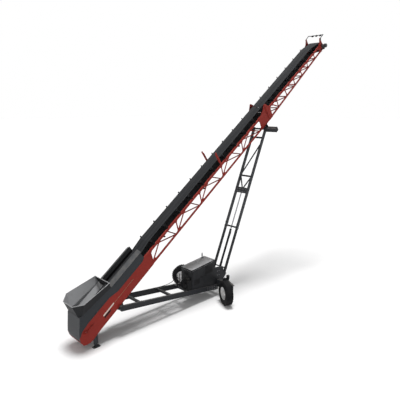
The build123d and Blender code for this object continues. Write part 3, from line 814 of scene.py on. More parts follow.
class CONVEYOR_OT_belts(Operator):
    """Builds the troughed belts; their return runs lie high between the chords, on short return rollers."""

    bl_idname = "conveyor.belts"
    bl_label = "Belts and return rollers"

    @staticmethod
    def half_turn(middle, towards, radius, steps=20):
        """The points of a half turn round an end drum, from its top."""
        angles = [pi / 2 - towards * pi * i / steps for i in range(steps + 1)]
        return [(middle + radius * cos(a), DRUM_V + radius * sin(a)) for a in angles]

    def execute(self, context):
        for name, body, end, towards, near, far, cut in (
                ("belt_lower", "boom", 0.0, -1, 0.7, 3.2, FOLD_U - FOLD_GAP),
                ("belt_head", "head", HEAD_U, 1, HEAD_U - 0.1, HEAD_U - 0.75, FOLD_U + FOLD_GAP)):
            b = Builder(BOOM)
            low = [(near, DRUM_V - BELT_RADIUS), (far, RETURN_V), (cut, RETURN_V)]
            outer, inner = (self.half_turn(end, towards, BELT_RADIUS - inset) for inset in (0.0, BELT_THICK))
            b.prism(outer + low + [(u, v + BELT_THICK) for u, v in reversed(low)] + inner[::-1],
                    -BELT_REACH, BELT_REACH)
            rings = []
            for u, flat, edge, reach in BELT_SECTIONS[name]:
                top = [(u, -reach, edge), (u, -BELT_FLAT, flat), (u, BELT_FLAT, flat), (u, reach, edge)]
                rings.append(top + [(u, y, v - BELT_THICK) for u, y, v in reversed(top)])
            b.loft(rings)
            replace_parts(made(name + "_dressed", body, "belt rubber", b), name)
        v = RETURN_V - ROLLER_RADIUS - 0.0003
        for name, body, places in (("boom_returns", "boom", (4.85, 7.78, 10.72)),
                                   ("head_returns", "head", (14.30, 16.90))):
            b = Builder(BOOM)
            for u in places:
                b.box((u - 0.03, u + 0.03), (0.3705, 0.3805), (v - 0.03, 0.04))
            b.mirror()
            for u in places:
                b.turned(1, (u, 0, v), (-0.33, 0.33, ROLLER_RADIUS, 20), (-0.376, 0.376, 0.012, 12))
            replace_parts(made(name + "_dressed", body, "roller steel", b, smooth=True), name)
        return {"FINISHED"}


class CONVEYOR_OT_leg_heads(Operator):
    """Builds the box arms that stand out beside the leg heads, with their end plates and gussets."""

    bl_idname = "conveyor.leg_heads"
    bl_label = "Leg head arms"

    def execute(self, context):
        b = Builder(BOOM)
        u, v = FOLD_U - 0.5, -0.71
        b.box((u - 0.1, u + 0.1), (PLATE_IN, 1.05), (v - 0.1, v + 0.1))
        b.box((u - 0.11, u + 0.11), (1.045, 1.056), (v - 0.11, v + 0.11))
        for du in (-0.07, 0.06):
            b.box((u + du, u + du + 0.012), (PLATE_IN, 0.55), (v + 0.1, v + 0.22))
        b.mirror()
        made("leg_head_arms", "boom", "frame paint", b, 0.004)
        return {"FINISHED"}


class CONVEYOR_OT_tail_trim(Operator):
    """Adds the hopper's rim in a painted highlight, the skirts' rubber strips and ribs, and on the plates a painted
    edge highlight, dark boxes of painted recess shade, and slides.
    """

    bl_idname = "conveyor.tail_trim"
    bl_label = "Trim the tail"

    def execute(self, context):
        rim = Builder(CHASSIS)
        corners = [(x, -y, z) for x, y, z in RIM] + RIM[::-1]
        for a, b in zip(corners, corners[1:] + corners[:1]):
            rim.bar(a, b, 0.014, 8)
            rim.ball(a, 0.0145)
        # The rim is painted in the liners' light grey as a painted highlight along the hopper's edge.
        made("hopper_rim", "boom", "liner paint", rim, smooth=True)
        strip = Builder(BOOM)
        strip.box((1.83, 3.59), (0.255, 0.262), (0.230, 0.33))
        for u in spaced(1.9, 3.5, 9):
            strip.box((u - 0.03, u + 0.03), (0.249, 0.255), (0.30, 0.325))
        strip.mirror()
        made("skirt_rubbers", "boom", "tyre rubber", strip, 0.002)
        # A thin tan strip along the seam paints the highlight on the plate's folded edge.
        seam_highlight = Builder(BOOM)
        seam_highlight.prism(((1.49, -0.197), (2.65, -0.173), (2.65, -0.160), (1.49, -0.184)), SIDE, SIDE + 0.004)
        seam_highlight.mirror()
        made("plate_edge_highlights", "boom", "worn edge", seam_highlight, 0.001)
        # The dark box below each slide plate is painted shade of a recess; the two bolt heads on it are real.
        recess_shade = Builder(BOOM)
        recess_shade.prism(((0.84, -0.318), (1.187, -0.318), (1.245, -0.242), (0.893, -0.242)), PLATE_IN, SIDE + 0.003)
        for u in (0.90, 1.15):
            recess_shade.turned(1, (u, 0, -0.282), (SIDE, SIDE + 0.010, 0.008, 6))
        recess_shade.mirror()
        made("plate_recess_shades", "boom", "dark steel", recess_shade, 0.001)
        slide = Builder(BOOM)
        slide.prism(((0.87, -0.220), (1.47, -0.205), (1.49, -0.150), (0.88, -0.160)), SIDE, SIDE + 0.004)
        slide.mirror()
        made("slide_plates", "boom", "slide plate", slide, 0.001)
        ribs = Builder(BOOM)
        for u in spaced(1.86, 3.56, 8):
            ribs.box((u, u + 0.012), (0.30, SIDE + 0.006), (0.412, 0.424))
        ribs.box((1.82, 3.56), (0.425, SIDE + 0.012), (0.409, 0.423))
        ribs.box((1.82, 3.59), (0.252, 0.268), (0.500, 0.512))
        ribs.mirror()
        made("skirt_edges", "boom", "cover paint", ribs, 0.002)
        return {"FINISHED"}


class CONVEYOR_OT_bearings(Operator):
    """Adds the drums' flange bearings and the belt's take-up screws."""

    bl_idname = "conveyor.bearings"
    bl_label = "Drum bearings"

    def execute(self, context):
        y = SIDE + 0.0005
        for name, body, u in (("tail_bearings", "boom", 0.0), ("head_bearing", "head", HEAD_U)):
            b = Builder(BOOM)
            b.box((u - 0.085, u + 0.085), (y, y + 0.014), (DRUM_V - 0.085, DRUM_V + 0.085))
            b.turned(1, (u, 0, DRUM_V), (y, y + 0.055, 0.066, 24, 0.052), (y, y + 0.075, 0.030, 20))
            for du in (-0.066, 0.066):
                for dv in (-0.066, 0.066):
                    b.turned(1, (u + du, 0, DRUM_V + dv), (y + 0.014, y + 0.026, 0.012, 6))
            if body == "boom":
                b.mirror()
            made(name, body, "red paint", b, 0.002)
        screw = Builder(BOOM)
        screw.turned(0, (0, SIDE + 0.022, DRUM_V), (0.086, 0.42, 0.010, 12),
                     *((u, u + 0.016, 0.019, 6) for u in (0.30, 0.34, 0.40)))
        screw.box((0.316, 0.332), (SIDE, SIDE + 0.045), (DRUM_V - 0.04, DRUM_V + 0.04))
        screw.mirror()
        made("take_up_screws", "boom", "red paint", screw)
        return {"FINISHED"}


class CONVEYOR_OT_bolts(Operator):
    """Adds the painted bolt heads along the seams of the side plates."""

    bl_idname = "conveyor.plate_bolts"
    bl_label = "Plate bolts"

    def execute(self, context):
        s = sizes()
        for group, body, slot, finish in (("panel", "boom", "slate", "slate paint"),
                                          ("tail", "boom", "boom_red", "red paint"),
                                          ("head", "head", "boom_red", "red paint")):
            points = []
            for owner, face, (u0, v0), (u1, v1), count in BOLT_ROWS:
                if owner == group:
                    points += mirrored([(u, face + s.bolt_height / 2, v)
                                        for u, v in zip(spaced(u0, u1, count), spaced(v0, v1, count))])
            bolted(group + "_bolts", body, BOOM, points, (pi / 2, 0, 0), s.bolt_radius, s.bolt_height, finish)
        return {"FINISHED"}


class CONVEYOR_OT_idlers(Operator):
    """Builds the troughing rollers on their stands, which sit on top of the chords, with nuts and foot bolts."""

    bl_idname = "conveyor.idlers"
    bl_label = "Troughing rollers"

    @staticmethod
    def wing(y):
        """Height of a wing roller's axis under the belt, at a place across."""
        slope = 0.075 / 0.160
        return 0.27 + (y - BELT_FLAT) * slope - 0.0553 * hypot(1.0, slope)

    def execute(self, context):
        wing = self.wing
        for body, low, high in (("boom", 3.85, FOLD_U - 0.06), ("head", FOLD_U + 0.06, HEAD_U)):
            places = [u for u in (18.51 - 0.89 * i for i in range(17)) if low < u < high]
            stands = Builder(BOOM)
            rolls = Builder(BOOM)
            for u in places:
                stands.box((u - 0.022, u + 0.022), (0.136, 0.142), (0.122, 0.238))
                stands.bar((u, 0.140, wing(0.140)), (u, 0.352, wing(0.352)), 0.011, 10)
                stands.prism(((u - 0.040, 0.118), (u + 0.040, 0.118), (u + 0.030, 0.374), (u - 0.030, 0.374)),
                             0.338, 0.345)
                stands.prism(((u - 0.030, 0.118), (u + 0.030, 0.118), (u, 0.240)), 0.345, 0.42)
                rolls.bar((u, 0.165, wing(0.165)), (u, 0.310, wing(0.310)), ROLLER_RADIUS, 20)
            stands.mirror()
            rolls.mirror()
            for u in places:
                stands.box((u - 0.035, u + 0.035), (-HALF, HALF), (0.1103, 0.122))
                stands.box((u - 0.004, u + 0.004), (-HALF, HALF), (0.122, 0.150))
                stands.turned(1, (u, 0, 0.2147), (-0.146, 0.146, 0.011, 10))
                rolls.turned(1, (u, 0, 0.2147), (-0.125, 0.125, ROLLER_RADIUS, 20))
            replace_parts(made(body + "_roller_stands", body, "dark steel", stands), body + "_idlers")
            made(body + "_rollers", body, "roller steel", rolls, smooth=True)
            feet = mirrored([(u + du, 0.405, 0.126) for u in places for du in (-0.022, 0.022)])
            bolted(body + "_stand_bolts", body, BOOM, feet, (0, 0, 0), 0.010, 0.009, "dark steel")
            nuts = mirrored([(u, 0.350, 0.312) for u in places])
            bolted(body + "_roller_nuts", body, BOOM, nuts, (pi / 2, 0, 0), 0.016, 0.010, "dark steel")
        return {"FINISHED"}


class CONVEYOR_OT_gussets(Operator):
    """Adds the small plates where the lattice bars meet the chords."""

    bl_idname = "conveyor.node_gussets"
    bl_label = "Lattice node plates"

    def execute(self, context):
        w = (HALF - 0.037, HALF - 0.013)
        boom = Builder(BOOM)
        for u in BOOM_NODES:
            boom.prism(((u - 0.07, -0.432), (u + 0.24, -0.432), (u + 0.16, -0.355), (u + 0.04, -0.335)), *w)
            for top in (u + 0.16, u + 0.74):
                boom.prism(((top - 0.13, 0.002), (top - 0.05, -0.055), (top + 0.05, -0.045), (top + 0.08, 0.002)), *w)
        head = Builder(BOOM)
        for u, lean in HEAD_LACING:
            low, top = low_edge(u) + LOW_DEPTH, u + lean
            head.prism(((u - 0.08, low - 0.002), (u + 0.08, low - 0.002), (u + 0.04, low + 0.06),
                        (u - 0.05, low + 0.06)), *w)
            head.prism(((top - 0.08, 0.002), (top - 0.04, -0.05), (top + 0.05, -0.05), (top + 0.08, 0.002)), *w)
        for body, b in (("boom", boom), ("head", head)):
            b.mirror()
            made(body + "_node_plates", body, "red paint", b, 0.001)
        return {"FINISHED"}


class CONVEYOR_OT_pipes(Operator):
    """Adds the two steel pipes and their clamps that feed the drive along the lattice."""

    bl_idname = "conveyor.boom_pipes"
    bl_label = "Pipes along the boom"

    def execute(self, context):
        y = -0.362
        for body, u0, u1, count in (("boom", 3.95, 13.24, 10), ("head", 13.36, 18.69, 7)):
            pipes = Builder(BOOM)
            for v in (0.018, 0.042):
                pipes.turned(0, (0, y, v), (u0, u1, 0.008, 12), (u0, u0 + 0.05, 0.011, 6), (u1 - 0.05, u1, 0.011, 6))
            made(body + "_pipes", body, "dark steel", pipes, smooth=True)
            clamps = Builder(BOOM)
            for u in spaced(u0 + 0.25, u1 - 0.25, count):
                clamps.box((u - 0.02, u + 0.02), (y - 0.0185, y + 0.010), (0.006, 0.054))
                clamps.turned(1, (u, 0, 0.03), (y + 0.010, y + 0.016, 0.008, 6))
            made(body + "_pipe_clamps", body, "dark steel", clamps, 0.002)
        return {"FINISHED"}


class CONVEYOR_OT_head(Operator):
    """Adds the working lamps on the hoop, the belt scraper and the hoop's sockets."""

    bl_idname = "conveyor.head_fittings"
    bl_label = "Head fittings"

    def execute(self, context):
        body = Builder(BOOM)
        for u, v in ((HEAD_U - 0.008, 0.340), (HEAD_U + 0.010, 0.395)):
            body.box((u - 0.03, u + 0.03), (SIDE + 0.0004, SIDE + 0.0396), (v - 0.012, v + 0.012))
        body.mirror()
        glass = Builder(BOOM)
        u, v = HEAD_U + 0.375, HOOP_TOP - 0.02
        for w in (-0.27, -0.03, 0.21):
            body.bar((u - 0.07, w, v + 0.010), (u + 0.040, w, v - 0.012), 0.034, 16, 0.052)
            body.box((u - 0.018, u + 0.018), (w - 0.012, w + 0.012), (v - 0.022, v + 0.024))
            glass.bar((u + 0.040, w, v - 0.012), (u + 0.050, w, v - 0.014), 0.047, 16, 0.040)
        made("head_lamps", "head", "dark steel", body, 0.002, True)
        made("head_lamp_glass", "head", "lamp glass", glass, 0.0, True)
        blade = Builder(BOOM)
        blade.turned(1, (19.31, 0, -0.300), (-0.428, 0.428, 0.017, 12))
        blade.prism(((19.30, -0.298), (19.322, -0.298), (19.348, -0.248), (19.338, -0.248)), -0.36, 0.36)
        for w in spaced(-0.33, 0.33, 4):
            blade.box((19.288, 19.332), (w - 0.02, w + 0.02), (-0.322, -0.278))
        made("belt_scraper", "head", "dark steel", blade, 0.001)
        return {"FINISHED"}


class CONVEYOR_OT_drive(Operator):
    """Adds the drive motor's ribs, end cover, ports and hoses."""

    bl_idname = "conveyor.drive_fittings"
    bl_label = "Drive motor fittings"

    def execute(self, context):
        u, v = HEAD_U, DRUM_V
        b = Builder(BOOM)
        b.turned(1, (u, 0, v), (-0.4426, -0.5626, 0.075, 32), (-0.5626, -0.7126, 0.100, 32),
                 (-0.7126, -0.732, 0.085, 24, 0.070), (-0.455, -0.470, 0.110, 24),
                 *((y, y - 0.006, 0.108, 32) for y in (-0.580 - i * 0.022 for i in range(6))))
        b.box((u - 0.06, u + 0.06), (-0.5523, -0.4424), (v - 0.190, v))
        for a in (2 * pi * i / 8 for i in range(8)):
            b.turned(1, (u + 0.094 * cos(a), 0, v + 0.094 * sin(a)), (-0.470, -0.482, 0.010, 6))
        for dv in (-0.03, 0.03):
            b.turned(0, (0, -0.65, v + dv), (u - 0.10, u - 0.145, 0.017, 8))
        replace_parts(made("motor_ribs", "head", "cover paint", b, 0.001), "drive_motor")
        runs = [((u - 0.14, -0.65, v + dv), (u - 0.25, -0.65, v + dv - 0.01), (u - 0.36, -0.58, v + dv),
                 (u - 0.50, -0.50, -0.05), (u - 0.58, -0.46, -0.06), (u - 0.66, -0.40, -0.05),
                 (u - 0.74, -0.362, end - 0.04), (u - 0.80, -0.362, end))
                for dv, end in ((-0.03, 0.018), (0.03, 0.042))]
        hosed("motor_hoses", "head", runs, BOOM)
        return {"FINISHED"}


class CONVEYOR_OT_legs(Operator):
    """Adds the legs' collars, pins, wear-pad screws, and the ram's gland, ports and hose."""

    bl_idname = "conveyor.leg_fittings"
    bl_label = "Leg fittings"

    @staticmethod
    def strut(builder, a, b):
        """A flat brace between two points (s, y) of the leg frame."""
        half = hypot(b[0] - a[0], b[1] - a[1]) / 2
        s, y = (a[0] + b[0]) / 2, (a[1] + b[1]) / 2
        builder.box((s - half, s + half), (y - 0.025, y + 0.025), (-0.025, 0.025),
                    Matrix.Rotation(atan2(b[1] - a[1], b[0] - a[0]), 4, "Z"))

    def execute(self, context):
        y = LEG_Y
        upper = Builder(LEG)
        for s in ((2.255, 2.315), (2.46, 2.50)):
            for e in (-1, 1):
                upper.box(s, (y - 0.053, y + 0.053), sorted((e * 0.0602, e * 0.068)))
                upper.box(s, sorted((y + e * 0.0452, y + e * 0.053)), (-0.068, 0.068))
        upper.turned(1, (7.526, 0, 0), (y - 0.044, y + 0.044, 0.044, 20))
        upper.box((7.40, 7.48), (y - 0.051, y + 0.051), (-0.064, 0.064))
        upper.box((4.08, 4.36), (0.185, 0.200), (0.0452, 0.056))
        self.strut(upper, (4.37, 0.045), (4.90, 0.305))
        upper.mirror()
        upper.box((4.08, 4.36), (-0.3195, 0.3195), (-0.046, 0.046))
        for s0 in (4.09, 4.20, 4.31):
            upper.box((s0, s0 + 0.02), (-0.318, 0.318), (0.0452, 0.056))
        upper.box((7.01, 7.09), (-0.3195, 0.3195), (-0.03, 0.03))
        self.strut(upper, (5.13, 0.305), (6.67, -0.305))
        made("sleeve_collars", "leg_sleeves", "leg paint", upper, 0.002)
        screws = mirrored([(s, y + 0.0535, z) for s in (2.285, 2.48) for z in (-0.03, 0.03)])
        bolted("sleeve_screws", "leg_sleeves", LEG, screws, (pi / 2, 0, 0), 0.012, 0.010)
        pads = mirrored([(s, across, 0.0585) for s in (4.14, 4.26) for across in (0.06, 0.12, 0.25)])
        bolted("crosshead_bolts", "leg_sleeves", LEG, pads, (0, 0, 0), 0.013, 0.010)
        lower = Builder(LEG)
        lower.box((0.20, 0.30), (y - 0.046, y + 0.046), (-0.061, 0.061))
        lower.mirror()
        for s0, s1, r in ((2.10, 2.168, 0.058), (1.10, 1.13, 0.054), (0.10, 0.15, 0.056)):
            lower.ring(s0, s1, 0.036, r)
        for s0 in (0.20, 2.05):
            lower.turned(2, (s0, 0, 0), (-0.045, -0.078, 0.018, 6))
        made("ram_gland", "leg_tubes", "frame paint", lower, 0.002)
        hosed("ram_hoses", "leg_tubes", [
            ((2.05, 0, -0.075), (1.99, 0, -0.098), (1.80, 0.004, -0.080), (1.2, 0.008, -0.078),
             (0.6, 0.010, -0.080), (0.32, 0.012, -0.10), (0.22, 0.03, -0.13)),
            ((0.20, 0, -0.075), (0.19, -0.012, -0.110), (0.17, -0.03, -0.135))], LEG)
        return {"FINISHED"}


class CONVEYOR_OT_canopy(Operator):
    """Adds the canopy's doors, louvres, latches, roof edge, flues and oil cabinet."""

    bl_idname = "conveyor.canopy_fittings"
    bl_label = "Canopy fittings"

    def execute(self, context):
        doors = Builder(CHASSIS)
        for y0, y1 in ((-0.510, -0.5), (0.2, 0.210)):
            for a, b in ((5.42, 6.11), (6.14, 6.83)):
                doors.prism(between(a, b, beam_top, 0.06, canopy_top, -0.06), y0, y1)
        doors.box((5.370, 5.38), (-0.46, 0.16), (0.87, 1.64))
        doors.box((6.86, 6.870), (-0.46, 0.16), (0.66, 1.78))
        made("canopy_doors", "chassis", "canopy paint", doors, 0.003)
        edge = Builder(CHASSIS)
        for y in (-0.506, 0.206):
            edge.prism(between(5.372, 6.868, canopy_top, -0.022, canopy_top, 0.006), y - 0.006, y + 0.006)
        for x in (5.376, 6.864):
            edge.box((x - 0.006, x + 0.006), (-0.512, 0.212), (canopy_top(x) - 0.022, canopy_top(x) + 0.006))
        edge.prism(between(6.10, 6.15, canopy_top, 0.0, canopy_top, 0.005), -0.495, 0.195)
        made("canopy_roof_edge", "chassis", "canopy paint", edge, 0.002)
        fast = Builder(CHASSIS)
        rows = []
        for y, out in ((-0.510, -1), (0.210, 1)):
            for x in (5.98, 6.25):
                fast.box((x - 0.05, x + 0.05), sorted((y, y + out * 0.006)), (1.22, 1.27))
                fast.turned(0, (0, y + out * 0.012, 1.245), (x - 0.03, x + 0.03, 0.008, 8))
            for x in (5.43, 6.82):
                fast.turned(2, (x, y + out * 0.004, 0), *((z - 0.04, z + 0.04, 0.010, 10) for z in (1.00, 1.55)))
            for x, z, count, wide in ((6.48, 1.32, 9, 0.50), (5.70, 0.98, 6, 0.36)):
                rows.append(((x, y + out * 0.003, z), count, (0, 0, 0.042), (wide, 0.004, 0.026), (-out * 0.2, 0, 0)))
        made("canopy_latches", "chassis", "dark steel", fast, 0.001)
        rows.append(((6.874, -0.15, 0.78), 20, (0, 0, 0.045), (0.004, 0.52, 0.026), (0, 0.6, 0)))
        rows.append(((5.366, -0.15, 1.40), 5, (0, 0, 0.040), (0.004, 0.36, 0.022), (0, -0.6, 0)))
        slatted("canopy_louvres", "chassis", "dark steel", CHASSIS, rows)
        flue = Builder(CHASSIS)
        x, z = 6.65, canopy_top(6.65)
        flue.turned(2, (x, 0.12, 0), (z + 0.002, z + 0.016, 0.070, 24), (z + 0.14, z + 0.165, 0.037, 20))
        flue.turned(2, (6.74, -0.46, 0), (z - 0.012, z + 0.03, 0.030, 16))
        flue.turned(2, (7.02, -0.43, 0), (1.675, 1.86, 0.030, 14), (1.86, 1.875, 0.040, 14))
        flue.turned(0, (0, -0.43, 1.70), (6.86, 7.02, 0.028, 14), (6.862, 6.876, 0.045, 14))
        made("canopy_flues", "chassis", "dark steel", flue, 0.001, True)
        cab = Builder(CHASSIS)
        cab.prism(((5.95, beam_top(5.95)), (6.70, beam_top(6.70)), (6.70, 1.40), (5.95, 1.40)), 0.23, 0.55)
        cab.box((5.99, 6.66), (0.550, 0.558), (beam_top(6.3) + 0.08, 1.35))
        cab.box((5.943, 6.707), (0.222, 0.558), (1.400, 1.412))
        cab.turned(2, (6.60, 0.562, 0), (1.02, 1.12, 0.009, 8))
        cab.turned(2, (6.1, 0.42, 0), (1.412, 1.47, 0.035, 16))
        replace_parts(made("oil_cabinet", "chassis", "slate paint", cab, 0.003), "hydraulic_cabinet")
        return {"FINISHED"}


class CONVEYOR_OT_valves(Operator):
    """Adds the control valve's slices, levers, pump end and hoses."""

    bl_idname = "conveyor.valve_group"
    bl_label = "Valve group"

    def execute(self, context):
        b = Builder(CHASSIS)
        levers = Builder(CHASSIS)
        runs = []
        b.prism(((5.10, beam_top(5.10)), (5.34, beam_top(5.34)), (5.34, 1.25), (5.10, 1.25)), -0.52, -0.20)
        b.box((5.13, 5.31), (-0.50, -0.22), (1.250, 1.262))
        for i, lean in enumerate((0.02, 0.05, 0.03, 0.06, 0.02)):
            y = -0.448 + i * 0.052
            b.box((5.14, 5.27), (y - 0.022, y + 0.022), (1.262, 1.36))
            b.turned(0, (0, y, 1.315), (5.27, 5.33, 0.017, 10), (5.14, 5.10, 0.016, 10))
            levers.bar((5.17, y, 1.36), (5.17 - lean * 2, y, 1.55), 0.006, 8)
            levers.ball((5.17 - lean * 2, y, 1.555), 0.014)
            runs.append(((5.10, y, 1.315), (5.04, y, 1.31), (4.98, y + 0.01, 1.24), (4.97, y + 0.03, 1.08),
                         (5.02, y + 0.05, 0.93), (5.12, y + 0.08, 0.87)))
        b.turned(0, (0, -0.40, 1.06), (5.10, 5.00, 0.085, 24), (5.00, 4.96, 0.060, 24, 0.050))
        b.turned(0, (0, -0.26, 1.02), (5.10, 5.03, 0.045, 16))
        b.box((5.08, 5.10), (-0.49, -0.22), (0.90, 1.20))
        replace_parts(made("valve_slices", "chassis", "dark steel", b, 0.002), "valve_bank")
        levers.turned(2, (5.12, 0.02, 0), (beam_top(5.1), 1.50, 0.016, 10))
        levers.turned(2, (5.08, 0.16, 0), (beam_top(5.1), 1.26, 0.024, 12))
        levers.box((5.05, 5.11), (0.13, 0.19), (1.24, 1.30))
        made("valve_levers", "chassis", "dark steel", levers, 0.0, True)
        runs.append(((5.08, 0.16, 1.27), (4.98, 0.20, 1.22), (4.80, 0.33, 1.03), (4.5, 0.45, 0.96),
                     (4.0, 0.46, 1.01), (3.4, 0.46, 1.09), (2.6, 0.46, 1.195), (2.2, 0.44, 1.245)))
        runs.append(((4.97, -0.30, 1.06), (4.88, -0.24, 1.02), (4.80, 0.10, 0.96), (4.75, 0.32, 0.94),
                     (4.5, 0.42, 0.96), (4.0, 0.43, 1.01), (3.4, 0.43, 1.09), (2.6, 0.43, 1.195)))
        hosed("valve_hoses", "chassis", runs, CHASSIS)
        return {"FINISHED"}


class CONVEYOR_OT_chassis(Operator):
    """Adds the chassis' pivot caps, end plates, braces to the axle, lug bosses and king collars."""

    bl_idname = "conveyor.chassis_fittings"
    bl_label = "Chassis fittings"

    def execute(self, context):
        b = Builder(CHASSIS)
        b.turned(1, (1.62, 0, 1.22), (0.55, 0.562, 0.095, 24), (0.562, 0.574, 0.038, 20))
        for x in (2.5, 4.15, 5.2, 5.8, 6.3, 6.9):
            z = beam_top(x)
            b.prism(((x - 0.12, z - 0.012), (x + 0.12, z - 0.012), (x + 0.05, z - 0.11), (x - 0.05, z - 0.11)),
                    0.43, 0.449)
        b.prism(((6.88, 1.44), (7.44, 1.35), (7.60, 0.93), (7.61, 0.935), (7.45, 1.362), (6.88, 1.452)), 0.44, 0.485)
        b.prism(((6.15, beam_top(6.15) - 0.222), (6.30, beam_top(6.30) - 0.222), (7.06, 0.50), (7.06, 0.44)),
                0.42, 0.50)
        b.turned(1, (7.69, 0, 0.92), (0.435, 0.447, 0.055, 20), (0.295, 0.283, 0.055, 20))
        b.mirror()
        made("chassis_caps", "chassis", "frame paint", b, 0.002)
        heads = [(x, 0.5556, beam_top(x) - 0.06 - dz) for x in spaced(6.35, 6.95, 5) for dz in (0.0, 0.10)]
        heads += [(x, 0.4905, z) for x in (7.07, 7.19) for z in (0.62, 0.74, 1.02, 1.22)]
        bolted("chassis_bolts", "chassis", CHASSIS, mirrored(heads), (pi / 2, 0, 0), 0.014, 0.010)
        flange = Builder(CHASSIS)
        flange.turned(2, (7.11603, 1.12806, 0), (0.60, 0.64, 0.078, 28), (1.03, 1.075, 0.078, 28))
        for x in (7.075, 7.165):
            flange.box((x - 0.008, x + 0.008), (0.85, 1.07), (0.80, 0.98))
        flange.mirror()
        made("king_collars", "chassis", "frame paint", flange, 0.001)
        return {"FINISHED"}


def hoop_of_bars(place, reach, radius, thick, count):
    """Two round rings about the X axis, one on each side, made of short round bars."""
    rings = Builder(place)
    around = [(radius * cos(2 * pi * i / count), radius * sin(2 * pi * i / count)) for i in range(count)]
    for x in (-reach, reach):
        for a, b in zip(around, around[1:] + around[:1]):
            rings.bar((x, *a), (x, *b), thick, 6)
    return rings


class CONVEYOR_OT_tyres(Operator):
    """Adds the tread bars and wall rings of both tyres."""

    bl_idname = "conveyor.tyre_treads"
    bl_label = "Tyre treads"

    def execute(self, context):
        s = sizes()
        halves = [tread_rule(skin("tyre rubber")).run([(0, 0, 0)], Bars=s.lugs, Radius=0.549, Phase=phase,
                                                      Across=across, Lean=lean, Bar=(0.15, 0.038, s.lug_depth))
                  for across, lean, phase in ((-0.075, 0.55, 0.0), (0.075, -0.55, pi / s.lugs))]
        mesh = joined("tyre_tread", halves)
        mesh.transform(RIGHT_WHEEL)
        both_wheels("tyre_tread", "wheel", "tyre rubber", mesh)
        rings = hoop_of_bars(RIGHT_WHEEL, 0.1795, 0.40, 0.005, 48)
        both_wheels("tyre_wall_ring", "wheel", "tyre rubber", rings.mesh("tyre_wall_ring"))
        return {"FINISHED"}


class CONVEYOR_OT_hubs(Operator):
    """Adds the wheel nuts, hub caps, rim beads and valve stems."""

    bl_idname = "conveyor.hub_fittings"
    bl_label = "Hub fittings"

    def execute(self, context):
        nuts = [(-0.066, 0.14 * cos(2 * pi * i / 8), 0.14 * sin(2 * pi * i / 8)) for i in range(8)]
        mesh = bolt_rule(skin("bolt steel")).run(nuts, Radius=0.014, Height=0.016, Turn=(0, pi / 2, 0))
        mesh.transform(RIGHT_WHEEL)
        both_wheels("wheel_nuts", "wheel", "bolt steel", mesh)
        cap = Builder(RIGHT_WHEEL)
        cap.turned(0, (0, 0, 0), (-0.091, -0.120, 0.062, 24, 0.050), (-0.120, -0.130, 0.028, 6),
                   (-0.060, -0.066, 0.175, 32))
        cap.bar((-0.065, 0.21, 0.02), (-0.105, 0.225, 0.02), 0.006, 8)
        both_wheels("hub_cap", "wheel", "rim paint", cap.mesh("hub_cap", 0.0, True))
        beads = hoop_of_bars(RIGHT_WHEEL, 0.140, 0.284, 0.010, 40)
        both_wheels("rim_beads", "wheel", "rim paint", beads.mesh("rim_beads", 0.0, True))
        return {"FINISHED"}


class CONVEYOR_OT_swivels(Operator):
    """Adds the swivel arms' web plates, mudguard flange, grease nipples and retaining nut."""

    bl_idname = "conveyor.swivel_fittings"
    bl_label = "Swivel arm fittings"

    def execute(self, context):
        b = Builder(RIGHT_WHEEL)
        b.turned(2, (0.30, 0.50, 0), (0.62, 0.648, 0.034, 6), (0.585, 0.596, 0.086, 28))
        b.turned(0, (0, 0, 0), (0.29, 0.302, 0.075, 24), (0.302, 0.314, 0.022, 6))
        b.box((0.205, 0.295), (-0.30, 0.38), (0.420, 0.428))
        for y in (-0.30, 0.38):
            b.box((0.205, 0.222), (y - 0.004, y + 0.004), (-0.09, 0.42))
        b.box((0.224, 0.296), (0.10, 0.38), (-0.150, -0.1402))
        b.box((0.224, 0.296), (-0.06, 0.38), (0.0402, 0.050))
        for y in (-0.15, 0.05, 0.25):
            b.box((0.2305, 0.245), (y - 0.006, y + 0.006), (0.055, 0.41))
        both_wheels("swivel_webs", "swivel", "frame paint", b.mesh("swivel_webs", 0.002))
        return {"FINISHED"}


class CONVEYOR_OT_feet(Operator):
    """Adds the tail posts' cheeks, holes, pins and sole ribs."""

    bl_idname = "conveyor.foot_fittings"
    bl_label = "Tail foot fittings"

    def execute(self, context):
        place = Matrix.Translation((TAIL.x + 0.46, 0, 0))
        cheeks = Builder(place)
        cheeks.box((-0.085, 0.085), (0.3785, 0.3795), (0.12, 0.66))
        cheeks.box((-0.085, 0.085), (0.4302, 0.4335), (0.12, 0.62))
        for x in (-0.085, 0.078):
            cheeks.box((x, x + 0.007), (0.3785, 0.431), (0.12, 0.66))
        cheeks.mirror()
        made("foot_cheeks", "boom", "slate paint", cheeks, 0.001)
        b = Builder(place)
        for z in (0.12, 0.22, 0.32, 0.42):
            b.turned(1, (0, 0, z), (HALF, HALF + 0.003, 0.018, 16))
        b.turned(1, (0, 0, 0.42), (HALF + 0.003, HALF + 0.03, 0.014, 12))
        for x in (-0.085, 0.085):
            b.prism(((x - 0.035, 0.02), (x + 0.035, 0.02), (x * 0.6, 0.12)), 0.396, 0.408)
        for x in (-0.11, 0.11):
            b.turned(2, (x, 0.47, 0), (0.02, 0.034, 0.014, 6))
        b.mirror()
        made("foot_pins", "boom", "dark steel", b, 0.001)
        return {"FINISHED"}


